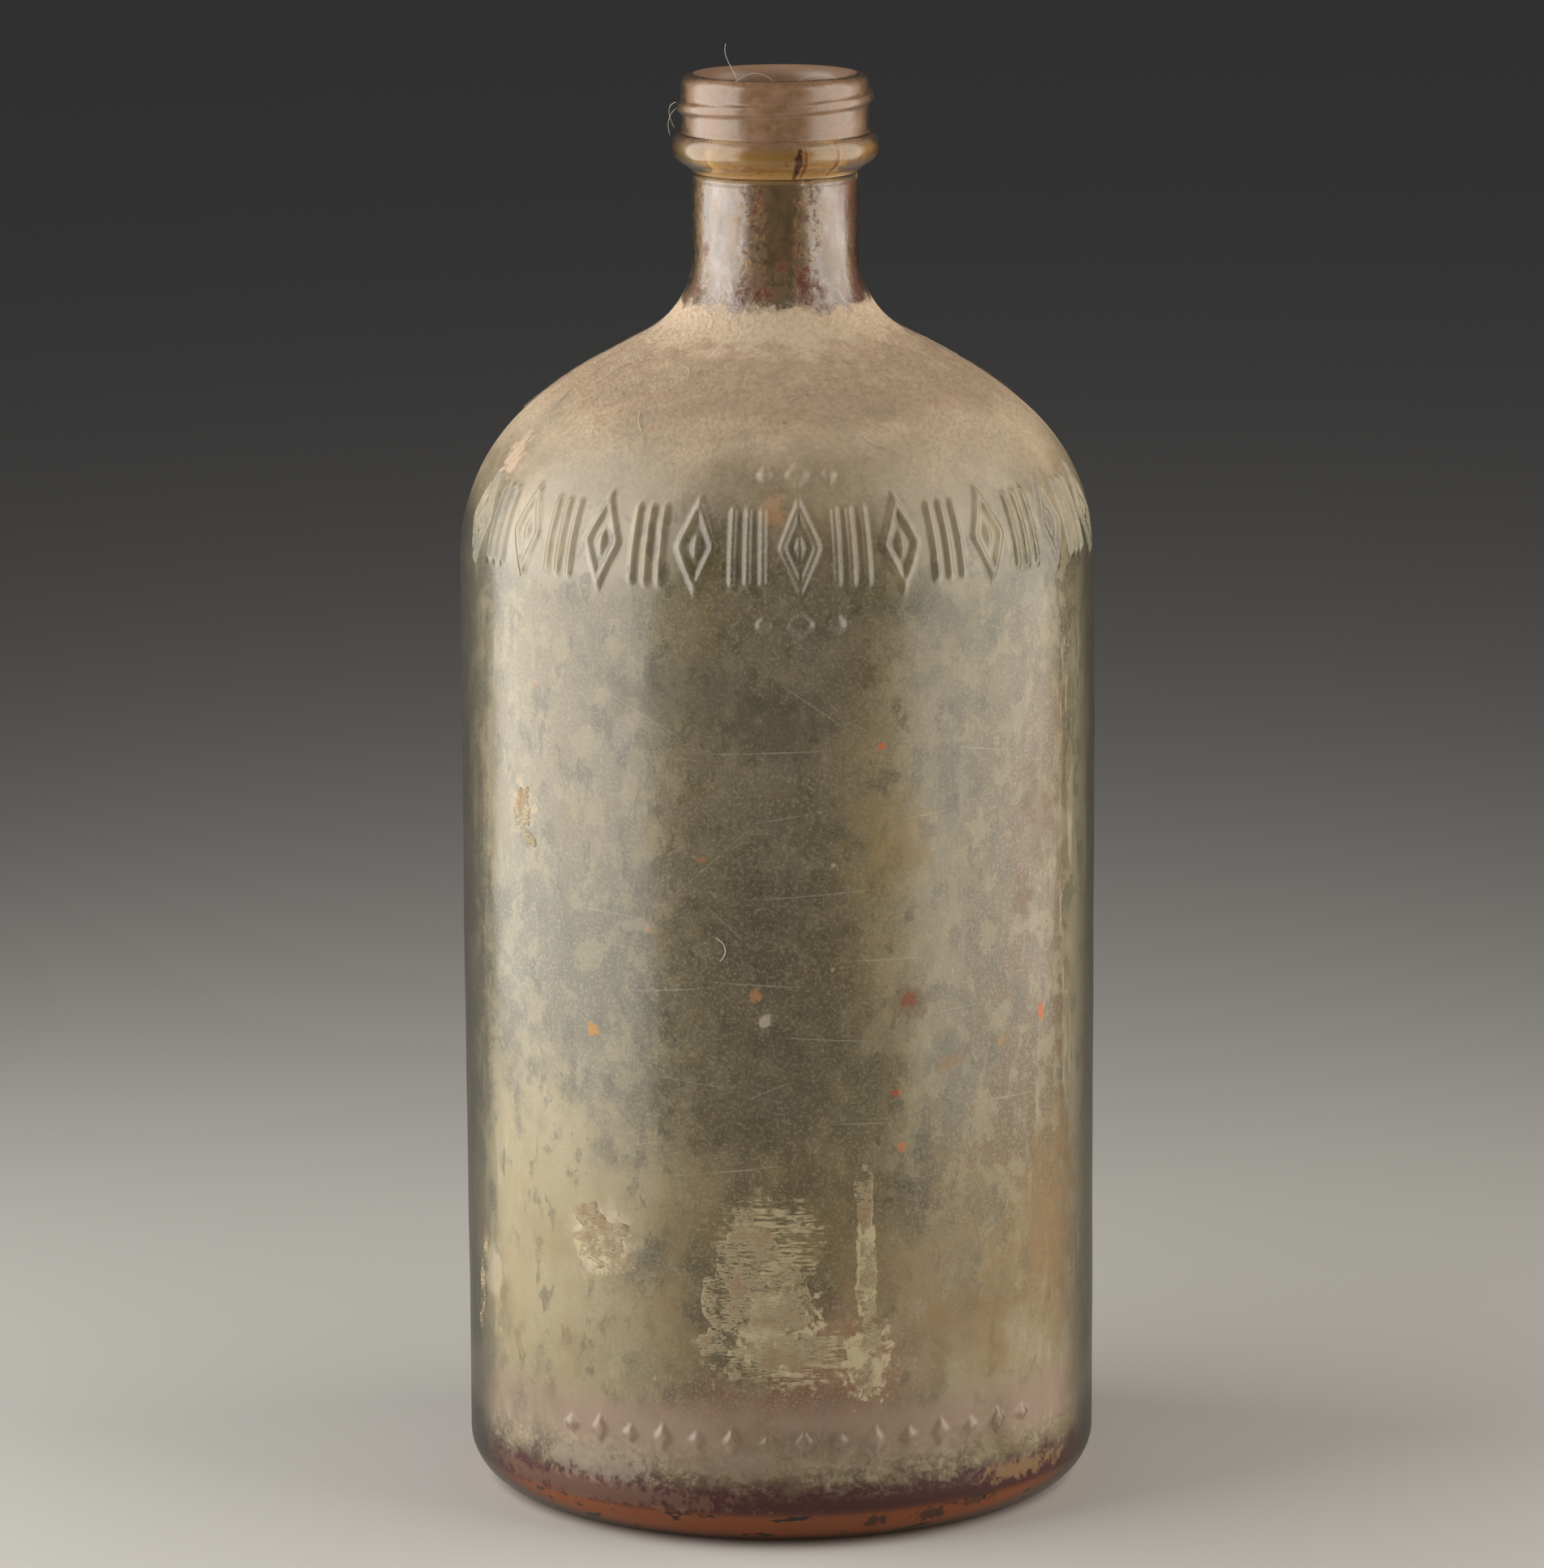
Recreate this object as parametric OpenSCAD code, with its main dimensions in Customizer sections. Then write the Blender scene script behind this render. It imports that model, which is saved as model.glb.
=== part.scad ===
// Tall round-shouldered glass soda bottle with a screw-thread finish and an open mouth.
// The origin is the centre of the base, on the surface the bottle stands on.
// +Z is up and the ornament faces -Y. Millimetres.
// The dirt of a long-buried bottle is in nodes of its own, so that
// glass_bottle alone is the clean bottle.

/* [Body] */
// Outer diameter of the straight body
body_d = 90; // [86:0.5:94]
// Height from the base to the top of the lip
height = 202; // [196:0.5:212]
// Height at which the straight body turns into the shoulder
shoulder_z = 133.65; // [125:0.05:134]
// Thickness of the body wall
wall = 3.2; // [2.6:0.1:4]
// Radius of the outer heel
heel_r = 6.75; // [5:0.25:8]
// Rise of the push-up in the middle of the base
push_h = 3.2; // [2:0.1:4]
// Thickness of the glass above the push-up
floor_t = 5.2; // [4.5:0.1:6]

/* [Shoulder and neck] */
// Radius of the round part of the shoulder
shoulder_r = 27.9; // [26:0.1:29]
// Radius of the flatter upper part of the shoulder
crown_r = 50; // [45:1:55]
// Radius of the fillet from the shoulder into the neck
neck_fillet_r = 13; // [11:0.5:14]
// Outer diameter of the neck
neck_d = 23.5; // [23:0.1:24.5]
// Bore through the neck and the mouth
bore_d = 19.2; // [18:0.1:20]

/* [Screw finish] */
// Diameter of the land that carries the thread
land_d = 26.4; // [26:0.1:27]
// Diameter over the thread
thread_d = 27.7; // [27.4:0.1:28.4]
// Rise of the thread in one turn
thread_pitch = 3.2; // [2.8:0.1:4]
// Height of the thread ridge where it meets the land
thread_w = 2.1; // [1.6:0.1:2.4]
// Diameter over the transfer bead
bead_d = 29.3; // [28.6:0.1:30]
// Distance from the lip down to the middle of the bead
bead_drop = 10.25; // [9.5:0.05:11]
// Rounding of the outer edge of the lip
lip_r = 1.7; // [1.2:0.1:2]

/* [Raised ornament] */
// How far the ornament stands out from the wall
relief_h = 0.5; // [0.3:0.05:0.7]
// Width of the raised lines in the main band
line_w = 1; // [0.8:0.1:1.3]
// Number of lozenges in the main band
lozenge_count = 9; // [5:1:9]
// Angle round the bottle from one motif to the next
motif_step = 9.3; // [8.8:0.1:9.6]

/* [Dirt] */
// Thickness of the dried residue in the base
residue_t = 0.6; // [0.4:0.1:1]
// Thickness of the mineral film on the inner wall
film_t = 0.25; // [0.2:0.05:0.4]
// Thickness of the dust lying on the shoulder
dust_t = 0.15; // [0.1:0.05:0.3]
// Thickness of the crust patches on the outer wall
crust_t = 0.2; // [0.1:0.05:0.4]

/* [Hidden] */
$fn = 96;

body_r = body_d / 2;
neck_r = neck_d / 2;
bore_r = bore_d / 2;
land_r = land_d / 2;
bead_r = bead_d / 2;

// The round shoulder turns into the flatter crown at crown_a, and the crown into a
// straight cone at cone_a. Both angles are measured up from the horizontal radius.
crown_a = 48;
cone_a = 61;

seat_in_r = 33;
seat_out_r = body_r - heel_r;
inner_wall_r = body_r - wall;
inner_heel_r = 8;
inner_floor_z = 5.5;
inner_heel_c = [inner_wall_r - inner_heel_r, inner_floor_z + inner_heel_r];

bead_round_r = 2.3;
bead_under_a = -56;
bead_over_a = 68;

// Point on a circle, and the points of an arc with both ends included.
function polar(c, r, a) = [c[0] + r * cos(a), c[1] + r * sin(a)];
function arc(c, r, a0, a1, n) = [for (i = [0:n]) polar(c, r, a0 + (a1 - a0) * i / n)];
function reversed(p) = [for (i = [len(p) - 1:-1:0]) p[i]];

// Centres of the shoulder arcs, each tangent to the one below it.
shoulder_c = [body_r - shoulder_r, shoulder_z];
crown_c = polar(shoulder_c, shoulder_r - crown_r, crown_a);
cone_p = polar(crown_c, crown_r, cone_a);
fillet_x = neck_r + neck_fillet_r;
cone_top_x = fillet_x - neck_fillet_r * cos(cone_a);
cone_top_z = cone_p[1] + (cone_p[0] - cone_top_x) / tan(cone_a);
fillet_c = [fillet_x, cone_top_z + neck_fillet_r * sin(cone_a)];

bead_c = [bead_r - bead_round_r, height - bead_drop];
bead_under_p = polar(bead_c, bead_round_r, bead_under_a);
bead_foot_z = bead_under_p[1] + (bead_under_p[0] - neck_r) / tan(bead_under_a);
lip_c = [land_r - lip_r, height - lip_r];
mouth_round_r = lip_c[0] - bore_r;
mouth_c = [lip_c[0], height - mouth_round_r];

// Outlines of the shoulder's three arcs at a distance d outside its glass, going up.
function shoulder_arc(d) = arc(shoulder_c, shoulder_r + d, 0, crown_a, 12);
function crown_arc(d) = arc(crown_c, crown_r + d, crown_a, cone_a, 5);
function fillet_arc(d) = arc(fillet_c, neck_fillet_r - d, 180 + cone_a, 180, 10);

// Inner surface of the base at a distance d inside the glass, from the wall to the axis.
function base_inside(d) = concat(arc(inner_heel_c, inner_heel_r - d, 0, -90, 9), floor_arc(d));
function floor_arc(d) = [for (i = [1:4]) let (x = inner_heel_c[0] * (1 - i / 4)) [x, floor_z(x) + d]];
function floor_z(x) = push_h + floor_t
    - (push_h + floor_t - inner_floor_z) * pow(x / inner_heel_c[0], 2);

// The push-up is part of a hollow sphere of this radius.
dome_r = (pow(seat_in_r, 2) + pow(push_h, 2)) / (2 * push_h);

outer_profile = concat(
    arc([0, push_h - dome_r], dome_r, 90, 90 - asin(seat_in_r / dome_r), 6),
    arc([seat_out_r, heel_r], heel_r, -90, 0, 9),
    shoulder_arc(0),
    crown_arc(0),
    fillet_arc(0),
    [[neck_r, bead_foot_z]],
    arc(bead_c, bead_round_r, bead_under_a, bead_over_a, 10),
    [[land_r, bead_c[1] + bead_round_r * sin(bead_over_a)]],
    arc(lip_c, lip_r, 0, 90, 6));

inner_profile = concat(
    arc(mouth_c, mouth_round_r, 110, 180, 5),
    reversed(fillet_arc(bore_r - neck_r)),
    reversed(crown_arc(-wall)),
    reversed(shoulder_arc(-wall)),
    base_inside(0));

module revolve_band(outline) {
    rotate_extrude() polygon(outline);
}

// ---------------------------------------------------------------- glass

module vessel() {
    revolve_band(concat(outer_profile, inner_profile));
}

// One rounded ridge that climbs to the right across the front and fades out at both ends.
thread_from = -150;
thread_to = 130;
thread_steps = 56;
thread_front_z = height - 3.9;

function thread_fade(t) = min(1, min(t, 1 - t) * 9);
function thread_point(t, out, up) = let (
    a = -90 + thread_from + (thread_to - thread_from) * t,
    z = thread_front_z + thread_pitch * (a + 90) / 360,
    r = land_r + (out > 0 ? out * thread_fade(t) - 0.08 * (1 - thread_fade(t)) : out))
    [r * cos(a), r * sin(a), z + up * (0.4 + 0.6 * thread_fade(t))];
thread_rise = (thread_d - land_d) / 2;
thread_section = [
    [-0.5, -thread_w / 2], [thread_rise * 0.1, -thread_w / 2], [thread_rise * 0.8, -thread_w / 4],
    [thread_rise, 0],
    [thread_rise * 0.8, thread_w / 4], [thread_rise * 0.1, thread_w / 2], [-0.5, thread_w / 2]];

module thread() {
    n = len(thread_section);
    points = [for (i = [0:thread_steps], s = thread_section)
        thread_point(i / thread_steps, s[0], s[1])];
    sides = [for (i = [0:thread_steps - 1], j = [0:n - 1]) let (k = (j + 1) % n)
        [i * n + j, i * n + k, (i + 1) * n + k, (i + 1) * n + j]];
    start = [[for (j = [n - 1:-1:0]) j]];
    end = [[for (j = [0:n - 1]) thread_steps * n + j]];
    polyhedron(points, concat(start, sides, end));
}

// A flat outline pushed out through the wall, centred at height z and at an
// angle round the bottle from the front.
module on_wall(angle, z) {
    rotate([0, 0, angle]) translate([0, -body_r * 0.75, z]) rotate([90, 0, 0])
        linear_extrude(body_r * 0.4) children();
}

module lozenge(w, h) {
    polygon([[0, -h / 2], [w / 2, 0], [0, h / 2], [-w / 2, 0]]);
}

module lozenge_frame(w, h, line) {
    inset = line * sqrt(1 + pow(h / w, 2));
    difference() {
        lozenge(w, h);
        lozenge(w - inset * 2 * w / h, h - inset * 2);
    }
}

// Main band: tall lozenge frames with a small solid lozenge inside, between groups of reeds.
band_h = 12.8;
band_mid_z = shoulder_z + 8.05;
lozenge_w = 6;
reed_step = 2.7;

module main_band() {
    for (i = [0:2 * (lozenge_count - 1)]) {
        angle = (i - (lozenge_count - 1)) * motif_step;
        if (i % 2 == 0) {
            on_wall(angle, band_mid_z) lozenge_frame(lozenge_w, band_h, line_w);
            on_wall(angle, band_mid_z) lozenge(1.6, 3.6);
        } else {
            for (k = [-1:1])
                on_wall(angle + k * reed_step, band_mid_z) square([line_w, band_h - 2], center = true);
        }
    }
}

// Small row of three solid lozenges, the middle one the largest.
module small_mark(z, size) {
    for (k = [-1:1])
        on_wall(k * 6.4, z) lozenge(size * (1 - 0.3 * abs(k)), size * (1 - 0.3 * abs(k)));
}

// Lower band: a row of small upright lozenges above the heel.
lower_band_z = 15.7;
module lower_band() {
    for (i = [-7:7])
        on_wall(i * 6.4, lower_band_z) lozenge(2.8, i % 2 == 0 ? 4.2 : 2.6);
}

// Space just outside the wall that the ornament fills.
module relief_envelope() {
    revolve_band(concat(
        shoulder_arc(relief_h),
        crown_arc(relief_h),
        reversed(crown_arc(-wall / 2)),
        reversed(shoulder_arc(-wall / 2)),
        [[body_r - wall / 2, lower_band_z - 6], [body_r + relief_h, lower_band_z - 6]]));
}

module relief() {
    intersection() {
        relief_envelope();
        union() {
            main_band();
            small_mark(shoulder_z + 17.35, 3.8);
            small_mark(shoulder_z - 2.35, 4.4);
            lower_band();
        }
    }
}

module glass_bottle() {
    color([0.72, 0.74, 0.62, 0.45]) {
        vessel();
        thread();
        relief();
    }
}

// ---------------------------------------------------------------- dirt

// Dark syrup residue dried on the floor and round the inside of the heel.
module dried_residue() {
    color([0.3, 0.13, 0.08])
        revolve_band(concat(
            reversed(base_inside(0)),
            base_inside(residue_t)));
}

// Hazy mineral film on the inner wall between the residue and the shoulder.
film_from_z = inner_heel_c[1] + 0.5;
film_to_a = 41.5;
module mineral_film() {
    color([0.62, 0.6, 0.5, 0.6])
        revolve_band(concat(
            [[inner_wall_r, film_from_z]],
            arc(shoulder_c, shoulder_r - wall, 0, film_to_a, 8),
            arc(shoulder_c, shoulder_r - wall - film_t, film_to_a, 0, 8),
            [[inner_wall_r - film_t, film_from_z]]));
}

// Dust lying on the outside of the shoulder, above the ornament.
module shoulder_dust() {
    color([0.66, 0.55, 0.43])
        revolve_band(concat(
            crown_arc(dust_t),
            [for (i = [0:3]) fillet_arc(dust_t)[i]],
            [for (i = [3:-1:0]) fillet_arc(0)[i]],
            reversed(crown_arc(0))));
}

// Crust and label remnants on the outer wall: [angle round from the front, span, low z, high z].
crust_list = [
    [-7.5, 18, 25, 48], [12, 4, 23, 55], [-41, 12, 40, 50], [-77, 5, 34, 41], [-60, 4, 102, 108]];

module crust_patches() {
    color([0.68, 0.64, 0.5])
        for (c = crust_list)
            rotate([0, 0, c[0] - 90 - c[1] / 2]) rotate_extrude(angle = c[1])
                translate([body_r, c[2]]) square([crust_t, c[3] - c[2]]);
}

glass_bottle();
dried_residue();
mineral_film();
shoulder_dust();
crust_patches();
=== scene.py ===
import math

import bpy
import numpy as np
from mathutils import Matrix, Vector


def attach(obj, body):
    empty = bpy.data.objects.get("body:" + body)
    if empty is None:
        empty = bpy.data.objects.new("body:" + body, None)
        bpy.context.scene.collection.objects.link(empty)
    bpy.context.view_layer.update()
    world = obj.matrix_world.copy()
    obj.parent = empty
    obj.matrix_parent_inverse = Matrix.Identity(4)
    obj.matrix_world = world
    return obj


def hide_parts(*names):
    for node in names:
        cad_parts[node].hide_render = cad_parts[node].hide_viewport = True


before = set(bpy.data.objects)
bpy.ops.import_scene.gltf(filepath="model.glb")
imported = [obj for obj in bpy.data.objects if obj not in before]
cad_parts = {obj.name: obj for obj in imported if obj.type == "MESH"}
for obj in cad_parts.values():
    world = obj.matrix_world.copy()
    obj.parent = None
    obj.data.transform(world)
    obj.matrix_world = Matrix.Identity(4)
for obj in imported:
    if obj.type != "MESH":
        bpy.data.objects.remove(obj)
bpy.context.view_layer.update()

MM = 0.001

# ---- Sizes, as in the CAD model, mm
BODY_R = 45.0
HEIGHT = 202.0
SHOULDER_Z = 133.65
WALL = 3.2
HEEL_R = 6.75
PUSH_H = 3.2
FLOOR_T = 5.2
SEAT_IN_R = 33.0
SHOULDER_R = 27.9
CROWN_R = 50.0
CROWN_A = 48.0
CONE_A = 61.0
FILLET_R = 13.0
NECK_R = 11.75
BORE_R = 9.6
LAND_R = 13.2
LIP_R = 1.7
BEAD_R = 14.65
BEAD_ROUND_R = 2.3
BEAD_Z = HEIGHT - 10.25
INNER_HEEL_R = 8.0
INNER_FLOOR_Z = 5.5
THREAD_RISE = 0.65
THREAD_HALF_W = 1.05
THREAD_PITCH = 3.2
THREAD_FRONT_Z = HEIGHT - 3.9
THREAD_FROM = -150
THREAD_TO = 130
RELIEF_H = 0.5

# The camera stands where the photographer's did, a little to the left of the ornament's middle.
CAMERA_AZIMUTH = -4.0
CAMERA_DISTANCE = 1.0994
CAMERA_HEIGHT = 0.3188
CAMERA_PITCH = 11.24
CAMERA_ROLL = -0.281
CAMERA_LENS = 180.3
CAMERA_SHIFT_X = -0.0041
SOFTBOX_Z = 0.28
SOFTBOX_TALL = 0.56


# ---- Outlines (r, z) in mm
def polar(centre, radius, degrees):
    a = math.radians(degrees)
    return (centre[0] + radius * math.cos(a), centre[1] + radius * math.sin(a))


def arc(centre, radius, start, end, step):
    """Points along an arc, about step mm apart, with both ends."""
    n = max(2, round(abs(math.radians(end - start)) * radius / step))
    return [polar(centre, radius, start + (end - start) * i / n) for i in range(n + 1)]


def line(a, b, step):
    n = max(1, round(math.dist(a, b) / step))
    return [(a[0] + (b[0] - a[0]) * i / n, a[1] + (b[1] - a[1]) * i / n) for i in range(n + 1)]


def joined(*runs):
    """One outline from several, without repeating the points they share."""
    points = []
    for run in runs:
        points += [p for p in run if not points or math.dist(p, points[-1]) > 1e-4]
    return points


SHOULDER_C = (BODY_R - SHOULDER_R, SHOULDER_Z)
CROWN_C = polar(SHOULDER_C, SHOULDER_R - CROWN_R, CROWN_A)
CONE_P = polar(CROWN_C, CROWN_R, CONE_A)
FILLET_X = NECK_R + FILLET_R
CONE_TOP_R = FILLET_X - FILLET_R * math.cos(math.radians(CONE_A))
CONE_TOP_Z = CONE_P[1] + (CONE_P[0] - CONE_TOP_R) / math.tan(math.radians(CONE_A))
FILLET_C = (FILLET_X, CONE_TOP_Z + FILLET_R * math.sin(math.radians(CONE_A)))
BEAD_C = (BEAD_R - BEAD_ROUND_R, BEAD_Z)
BEAD_UNDER = polar(BEAD_C, BEAD_ROUND_R, -56)
BEAD_FOOT = (NECK_R, BEAD_UNDER[1] - (BEAD_UNDER[0] - NECK_R) * math.tan(math.radians(34)))
LIP_C = (LAND_R - LIP_R, HEIGHT - LIP_R)
MOUTH_ROUND = LIP_C[0] - BORE_R
MOUTH_C = (LIP_C[0], HEIGHT - MOUTH_ROUND)
INNER_R = BODY_R - WALL
INNER_HEEL_C = (INNER_R - INNER_HEEL_R, INNER_FLOOR_Z + INNER_HEEL_R)
DOME_R = (SEAT_IN_R ** 2 + PUSH_H ** 2) / (2 * PUSH_H)


def shoulder_outline(d, step):
    """The shoulder from the straight wall to the neck, at a distance d outside the glass."""
    return joined(
        arc(SHOULDER_C, SHOULDER_R + d, 0, CROWN_A, step),
        arc(CROWN_C, CROWN_R + d, CROWN_A, CONE_A, step),
        arc(FILLET_C, FILLET_R - d, 180 + CONE_A, 180, step))


def inner_floor(step):
    """The inside of the base, from the axis out to the inner heel."""
    edge = INNER_HEEL_C[0]
    top = PUSH_H + FLOOR_T
    n = round(edge / step)
    return [(edge * i / n, top - (top - INNER_FLOOR_Z) * (i / n) ** 2) for i in range(n + 1)]


def inner_outline(step):
    """The inner surface from the middle of the floor up to the bore."""
    return joined(
        inner_floor(step),
        arc(INNER_HEEL_C, INNER_HEEL_R, -90, 0, step / 2),
        line((INNER_R, INNER_HEEL_C[1]), (INNER_R, SHOULDER_Z), step * 2),
        arc(SHOULDER_C, SHOULDER_R - WALL, 0, CROWN_A, step),
        arc(CROWN_C, CROWN_R - WALL, CROWN_A, CONE_A, step),
        arc(FILLET_C, FILLET_X - BORE_R, 180 + CONE_A, 180, step))


# ---- Meshes of revolution
def in_scene(name, data):
    """An object made of the data, in the scene."""
    obj = bpy.data.objects.new(name, data)
    bpy.context.scene.collection.objects.link(obj)
    return obj


def mesh_object(name, verts, faces):
    """A smooth mesh object from points in metres."""
    mesh = bpy.data.meshes.new(name)
    mesh.from_pydata(verts, [], faces)
    mesh.polygons.foreach_set("use_smooth", [True] * len(faces))
    mesh.update()
    return in_scene(name, mesh)


COARSE_STEP = 1.6
FINE_PER_COARSE = 4
FRONT_HALF_ANGLE = 84.8
COARSE_COUNT = 225
FRONT_CELLS = round(2 * FRONT_HALF_ANGLE / COARSE_STEP)


def column_angles(fine):
    """Angles round the bottle from the front, in degrees. A fine ring is finer across the front."""
    coarse = [-FRONT_HALF_ANGLE + COARSE_STEP * k for k in range(COARSE_COUNT)]
    if not fine:
        return np.array(coarse)
    step = COARSE_STEP / FINE_PER_COARSE
    front = [-FRONT_HALF_ANGLE + step * k for k in range(FRONT_CELLS * FINE_PER_COARSE)]
    return np.array(front + coarse[FRONT_CELLS:])


def waviness(angle, z):
    """The uneven thickness of old moulded glass, about a tenth of a millimetre."""
    a = np.radians(angle)
    return (0.05 * np.sin(2 * a + 0.045 * z + 1.0)
            + 0.035 * np.sin(5 * a - 0.07 * z + 2.1)
            + 0.022 * np.sin(11 * a + 0.16 * z)
            + 0.018 * np.sin(0.31 * z + 3 * a + 0.7))


def outline_normals(points):
    """Unit normals of an outline that runs with the solid on its left-hand side."""
    p = np.array(points)
    t = np.gradient(p, axis=0)
    n = np.column_stack([t[:, 1], -t[:, 0]])
    return n / np.maximum(np.linalg.norm(n, axis=1), 1e-9)[:, None]


def lathe_faces(first_a, angles_a_fine, first_b, angles_b_fine):
    """Faces between two rings that start at those vertices. Either ring may be the finer one."""
    count = COARSE_COUNT + FRONT_CELLS * (FINE_PER_COARSE - 1)
    if angles_a_fine == angles_b_fine:
        n = count if angles_a_fine else COARSE_COUNT
        return [(first_a + j, first_a + (j + 1) % n, first_b + (j + 1) % n, first_b + j)
                for j in range(n)]
    flip = angles_a_fine
    coarse, fine = (first_b, first_a) if flip else (first_a, first_b)
    faces = []
    for j in range(COARSE_COUNT):
        c0, c1 = coarse + j, coarse + (j + 1) % COARSE_COUNT
        if j < FRONT_CELLS:
            f = [fine + (FINE_PER_COARSE * j + k) % count for k in range(FINE_PER_COARSE + 1)]
            group = [(c0, f[1], f[0]), (c0, f[2], f[1]), (c0, c1, f[2]), (c1, f[3], f[2]),
                     (c1, f[4], f[3])]
        else:
            k = FRONT_CELLS * FINE_PER_COARSE + (j - FRONT_CELLS)
            group = [(c0, c1, fine + (k + 1) % count, fine + k % count)]
        faces += [g[::-1] for g in group] if flip else group
    return faces


def lathe(name, zones):
    """A closed solid of revolution. Each zone is (outline, fine, lift, slot): lift(angle, r, z)
    moves its surface along the normal by that many mm, and slot is the material index."""
    rings = []
    for outline, fine, lift, slot in zones:
        normals = outline_normals(outline)
        angles = column_angles(fine)
        for (r, z), (nr, nz) in zip(outline, normals):
            if rings and math.dist((r, z), rings[-1]["at"]) < 1e-4:
                continue
            if r < 1e-6:
                verts = np.array([[0.0, 0.0, z]])
            else:
                h = lift(angles, r, z)
                rr, zz = r + h * nr, z + h * nz
                a = np.radians(angles)
                verts = np.column_stack([rr * np.sin(a), -rr * np.cos(a), zz + 0 * a])
            rings.append({"at": (r, z), "fine": fine, "verts": verts, "slot": slot})
    verts, faces, slots = [], [], []
    for ring in rings:
        ring["first"] = len(verts)
        verts += list(ring["verts"])
    closing = len(rings[0]["verts"]) > 1
    pairs = list(zip(rings, rings[1:])) + ([(rings[-1], rings[0])] if closing else [])
    for low, high in pairs:
        if len(low["verts"]) == 1 and len(high["verts"]) == 1:
            continue
        if len(low["verts"]) == 1:
            n = len(high["verts"])
            new = [(low["first"], high["first"] + (j + 1) % n, high["first"] + j) for j in range(n)]
        elif len(high["verts"]) == 1:
            n = len(low["verts"])
            new = [(low["first"] + j, low["first"] + (j + 1) % n, high["first"]) for j in range(n)]
        else:
            new = lathe_faces(low["first"], low["fine"], high["first"], high["fine"])
        faces += new
        slots += [high["slot"]] * len(new)
    obj = mesh_object(name, [tuple(v) for v in np.array(verts) * MM], faces)
    obj.data.polygons.foreach_set("material_index", slots)
    return obj


# ---- Raised ornament and thread
MOTIF_STEP = 9.3
LOZENGE_COUNT = 9
REED_STEP = 2.7
BAND_MID_Z = SHOULDER_Z + 8.05
BAND_H = 12.8
RIDGE_HALF_W = 0.78


def ridge(distance, half_width=RIDGE_HALF_W):
    """Height from 0 to 1 of a rounded ridge at a distance from its middle line."""
    t = np.clip(np.abs(distance) / half_width, 0, 1)
    return 0.5 + 0.5 * np.cos(np.pi * t)


def lozenge_ring(u, v, w, h):
    """Distance to the outline of a lozenge w wide and h tall."""
    a, b = w / 2, h / 2
    return (np.abs(u) / a + np.abs(v) / b - 1) * a * b / math.hypot(a, b)


def solid_lozenge(u, v, w, h):
    """Height from 0 to 1 of a filled lozenge that slopes down over its outer 0.55 mm."""
    return np.clip(-lozenge_ring(u, v, w, h) / 0.55, 0, 1) ** 0.7


def reed(u, v, h):
    """An upright ridge with round ends."""
    over = np.maximum(np.abs(v) - h / 2, 0)
    return ridge(np.hypot(u, over))


def main_band(angle, r, z):
    """Lozenges with a small one inside each, and three reeds between one lozenge and the next."""
    height = np.zeros_like(angle)
    v = z - BAND_MID_Z
    for i in range(2 * LOZENGE_COUNT - 1):
        at = (i - LOZENGE_COUNT + 1) * MOTIF_STEP
        u = r * np.sin(np.radians(angle - at))
        if i % 2 == 0:
            height = np.maximum(height, ridge(lozenge_ring(u, v, 4.9, BAND_H - 2.0)))
            height = np.maximum(height, solid_lozenge(u, v, 1.8, 4.0))
        else:
            for k in (-1, 0, 1):
                u = r * np.sin(np.radians(angle - at - k * REED_STEP))
                height = np.maximum(height, reed(u, v, BAND_H - 3.4))
    return height


def small_mark(angle, r, z, at_z, size):
    """Three small lozenges side by side, the middle one the largest."""
    height = np.zeros_like(angle)
    for k in (-1, 0, 1):
        s = size * (1 - 0.3 * abs(k))
        u = r * np.sin(np.radians(angle - k * 6.4))
        height = np.maximum(height, solid_lozenge(u, z - at_z, s, s))
    return height


def upper_ornament(angle, r, z):
    """The main band with a small mark above it and one below."""
    front = np.abs(angle) < 90
    height = np.maximum(main_band(angle, r, z), small_mark(angle, r, z, SHOULDER_Z + 17.35, 3.8))
    height = np.maximum(height, small_mark(angle, r, z, SHOULDER_Z - 2.35, 4.4))
    return RELIEF_H * height * front + waviness(angle, z)


def lower_ornament(angle, r, z):
    """A row of small lozenges low on the body, large and small in turn."""
    height = np.zeros_like(angle)
    for i in range(-7, 8):
        u = r * np.sin(np.radians(angle - i * 6.4))
        height = np.maximum(height, solid_lozenge(u, z - 15.7, 2.8, 4.2 if i % 2 == 0 else 2.6))
    return RELIEF_H * height * (np.abs(angle) < 90) + waviness(angle, z)


def plain_wall(angle, r, z):
    """Waviness that dies out towards the axis and the seat."""
    return waviness(angle, z) * min(1.0, z / 6.0) * min(1.0, r / 20.0)


def thread_lift(angle, r, z):
    """A rounded right-hand thread that climbs to the right across the front."""
    wrapped = (angle + 180) % 360 - 180
    lift = np.zeros_like(angle)
    for turn in (-360, 0, 360):
        a = wrapped + turn
        t = (a - THREAD_FROM) / (THREAD_TO - THREAD_FROM)
        inside = (t > 0) & (t < 1)
        fade = np.clip(np.minimum(t, 1 - t) * 9, 0, 1) * inside
        d = np.abs(z - THREAD_FRONT_Z - THREAD_PITCH * a / 360) / THREAD_HALF_W
        flank = np.clip((1.0 - d) / 0.62, 0, 1)
        lift = np.maximum(lift, THREAD_RISE * fade * flank * flank * (3 - 2 * flank))
    return lift + 0.25 * waviness(angle, z)


def inner_lift(angle, r, z):
    """The inner wall is more uneven than the outer one."""
    a = np.radians(angle)
    calm = min(1.0, r / 14.0) * min(1.0, max(0.0, (r - 2) / 6))
    return calm * (1.3 * waviness(angle + 40, z * 0.8) + 0.03 * np.sin(7 * a - 0.11 * z))


def still(angle, r, z):
    """No lift at all, for the underside."""
    return np.zeros_like(angle)


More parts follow.
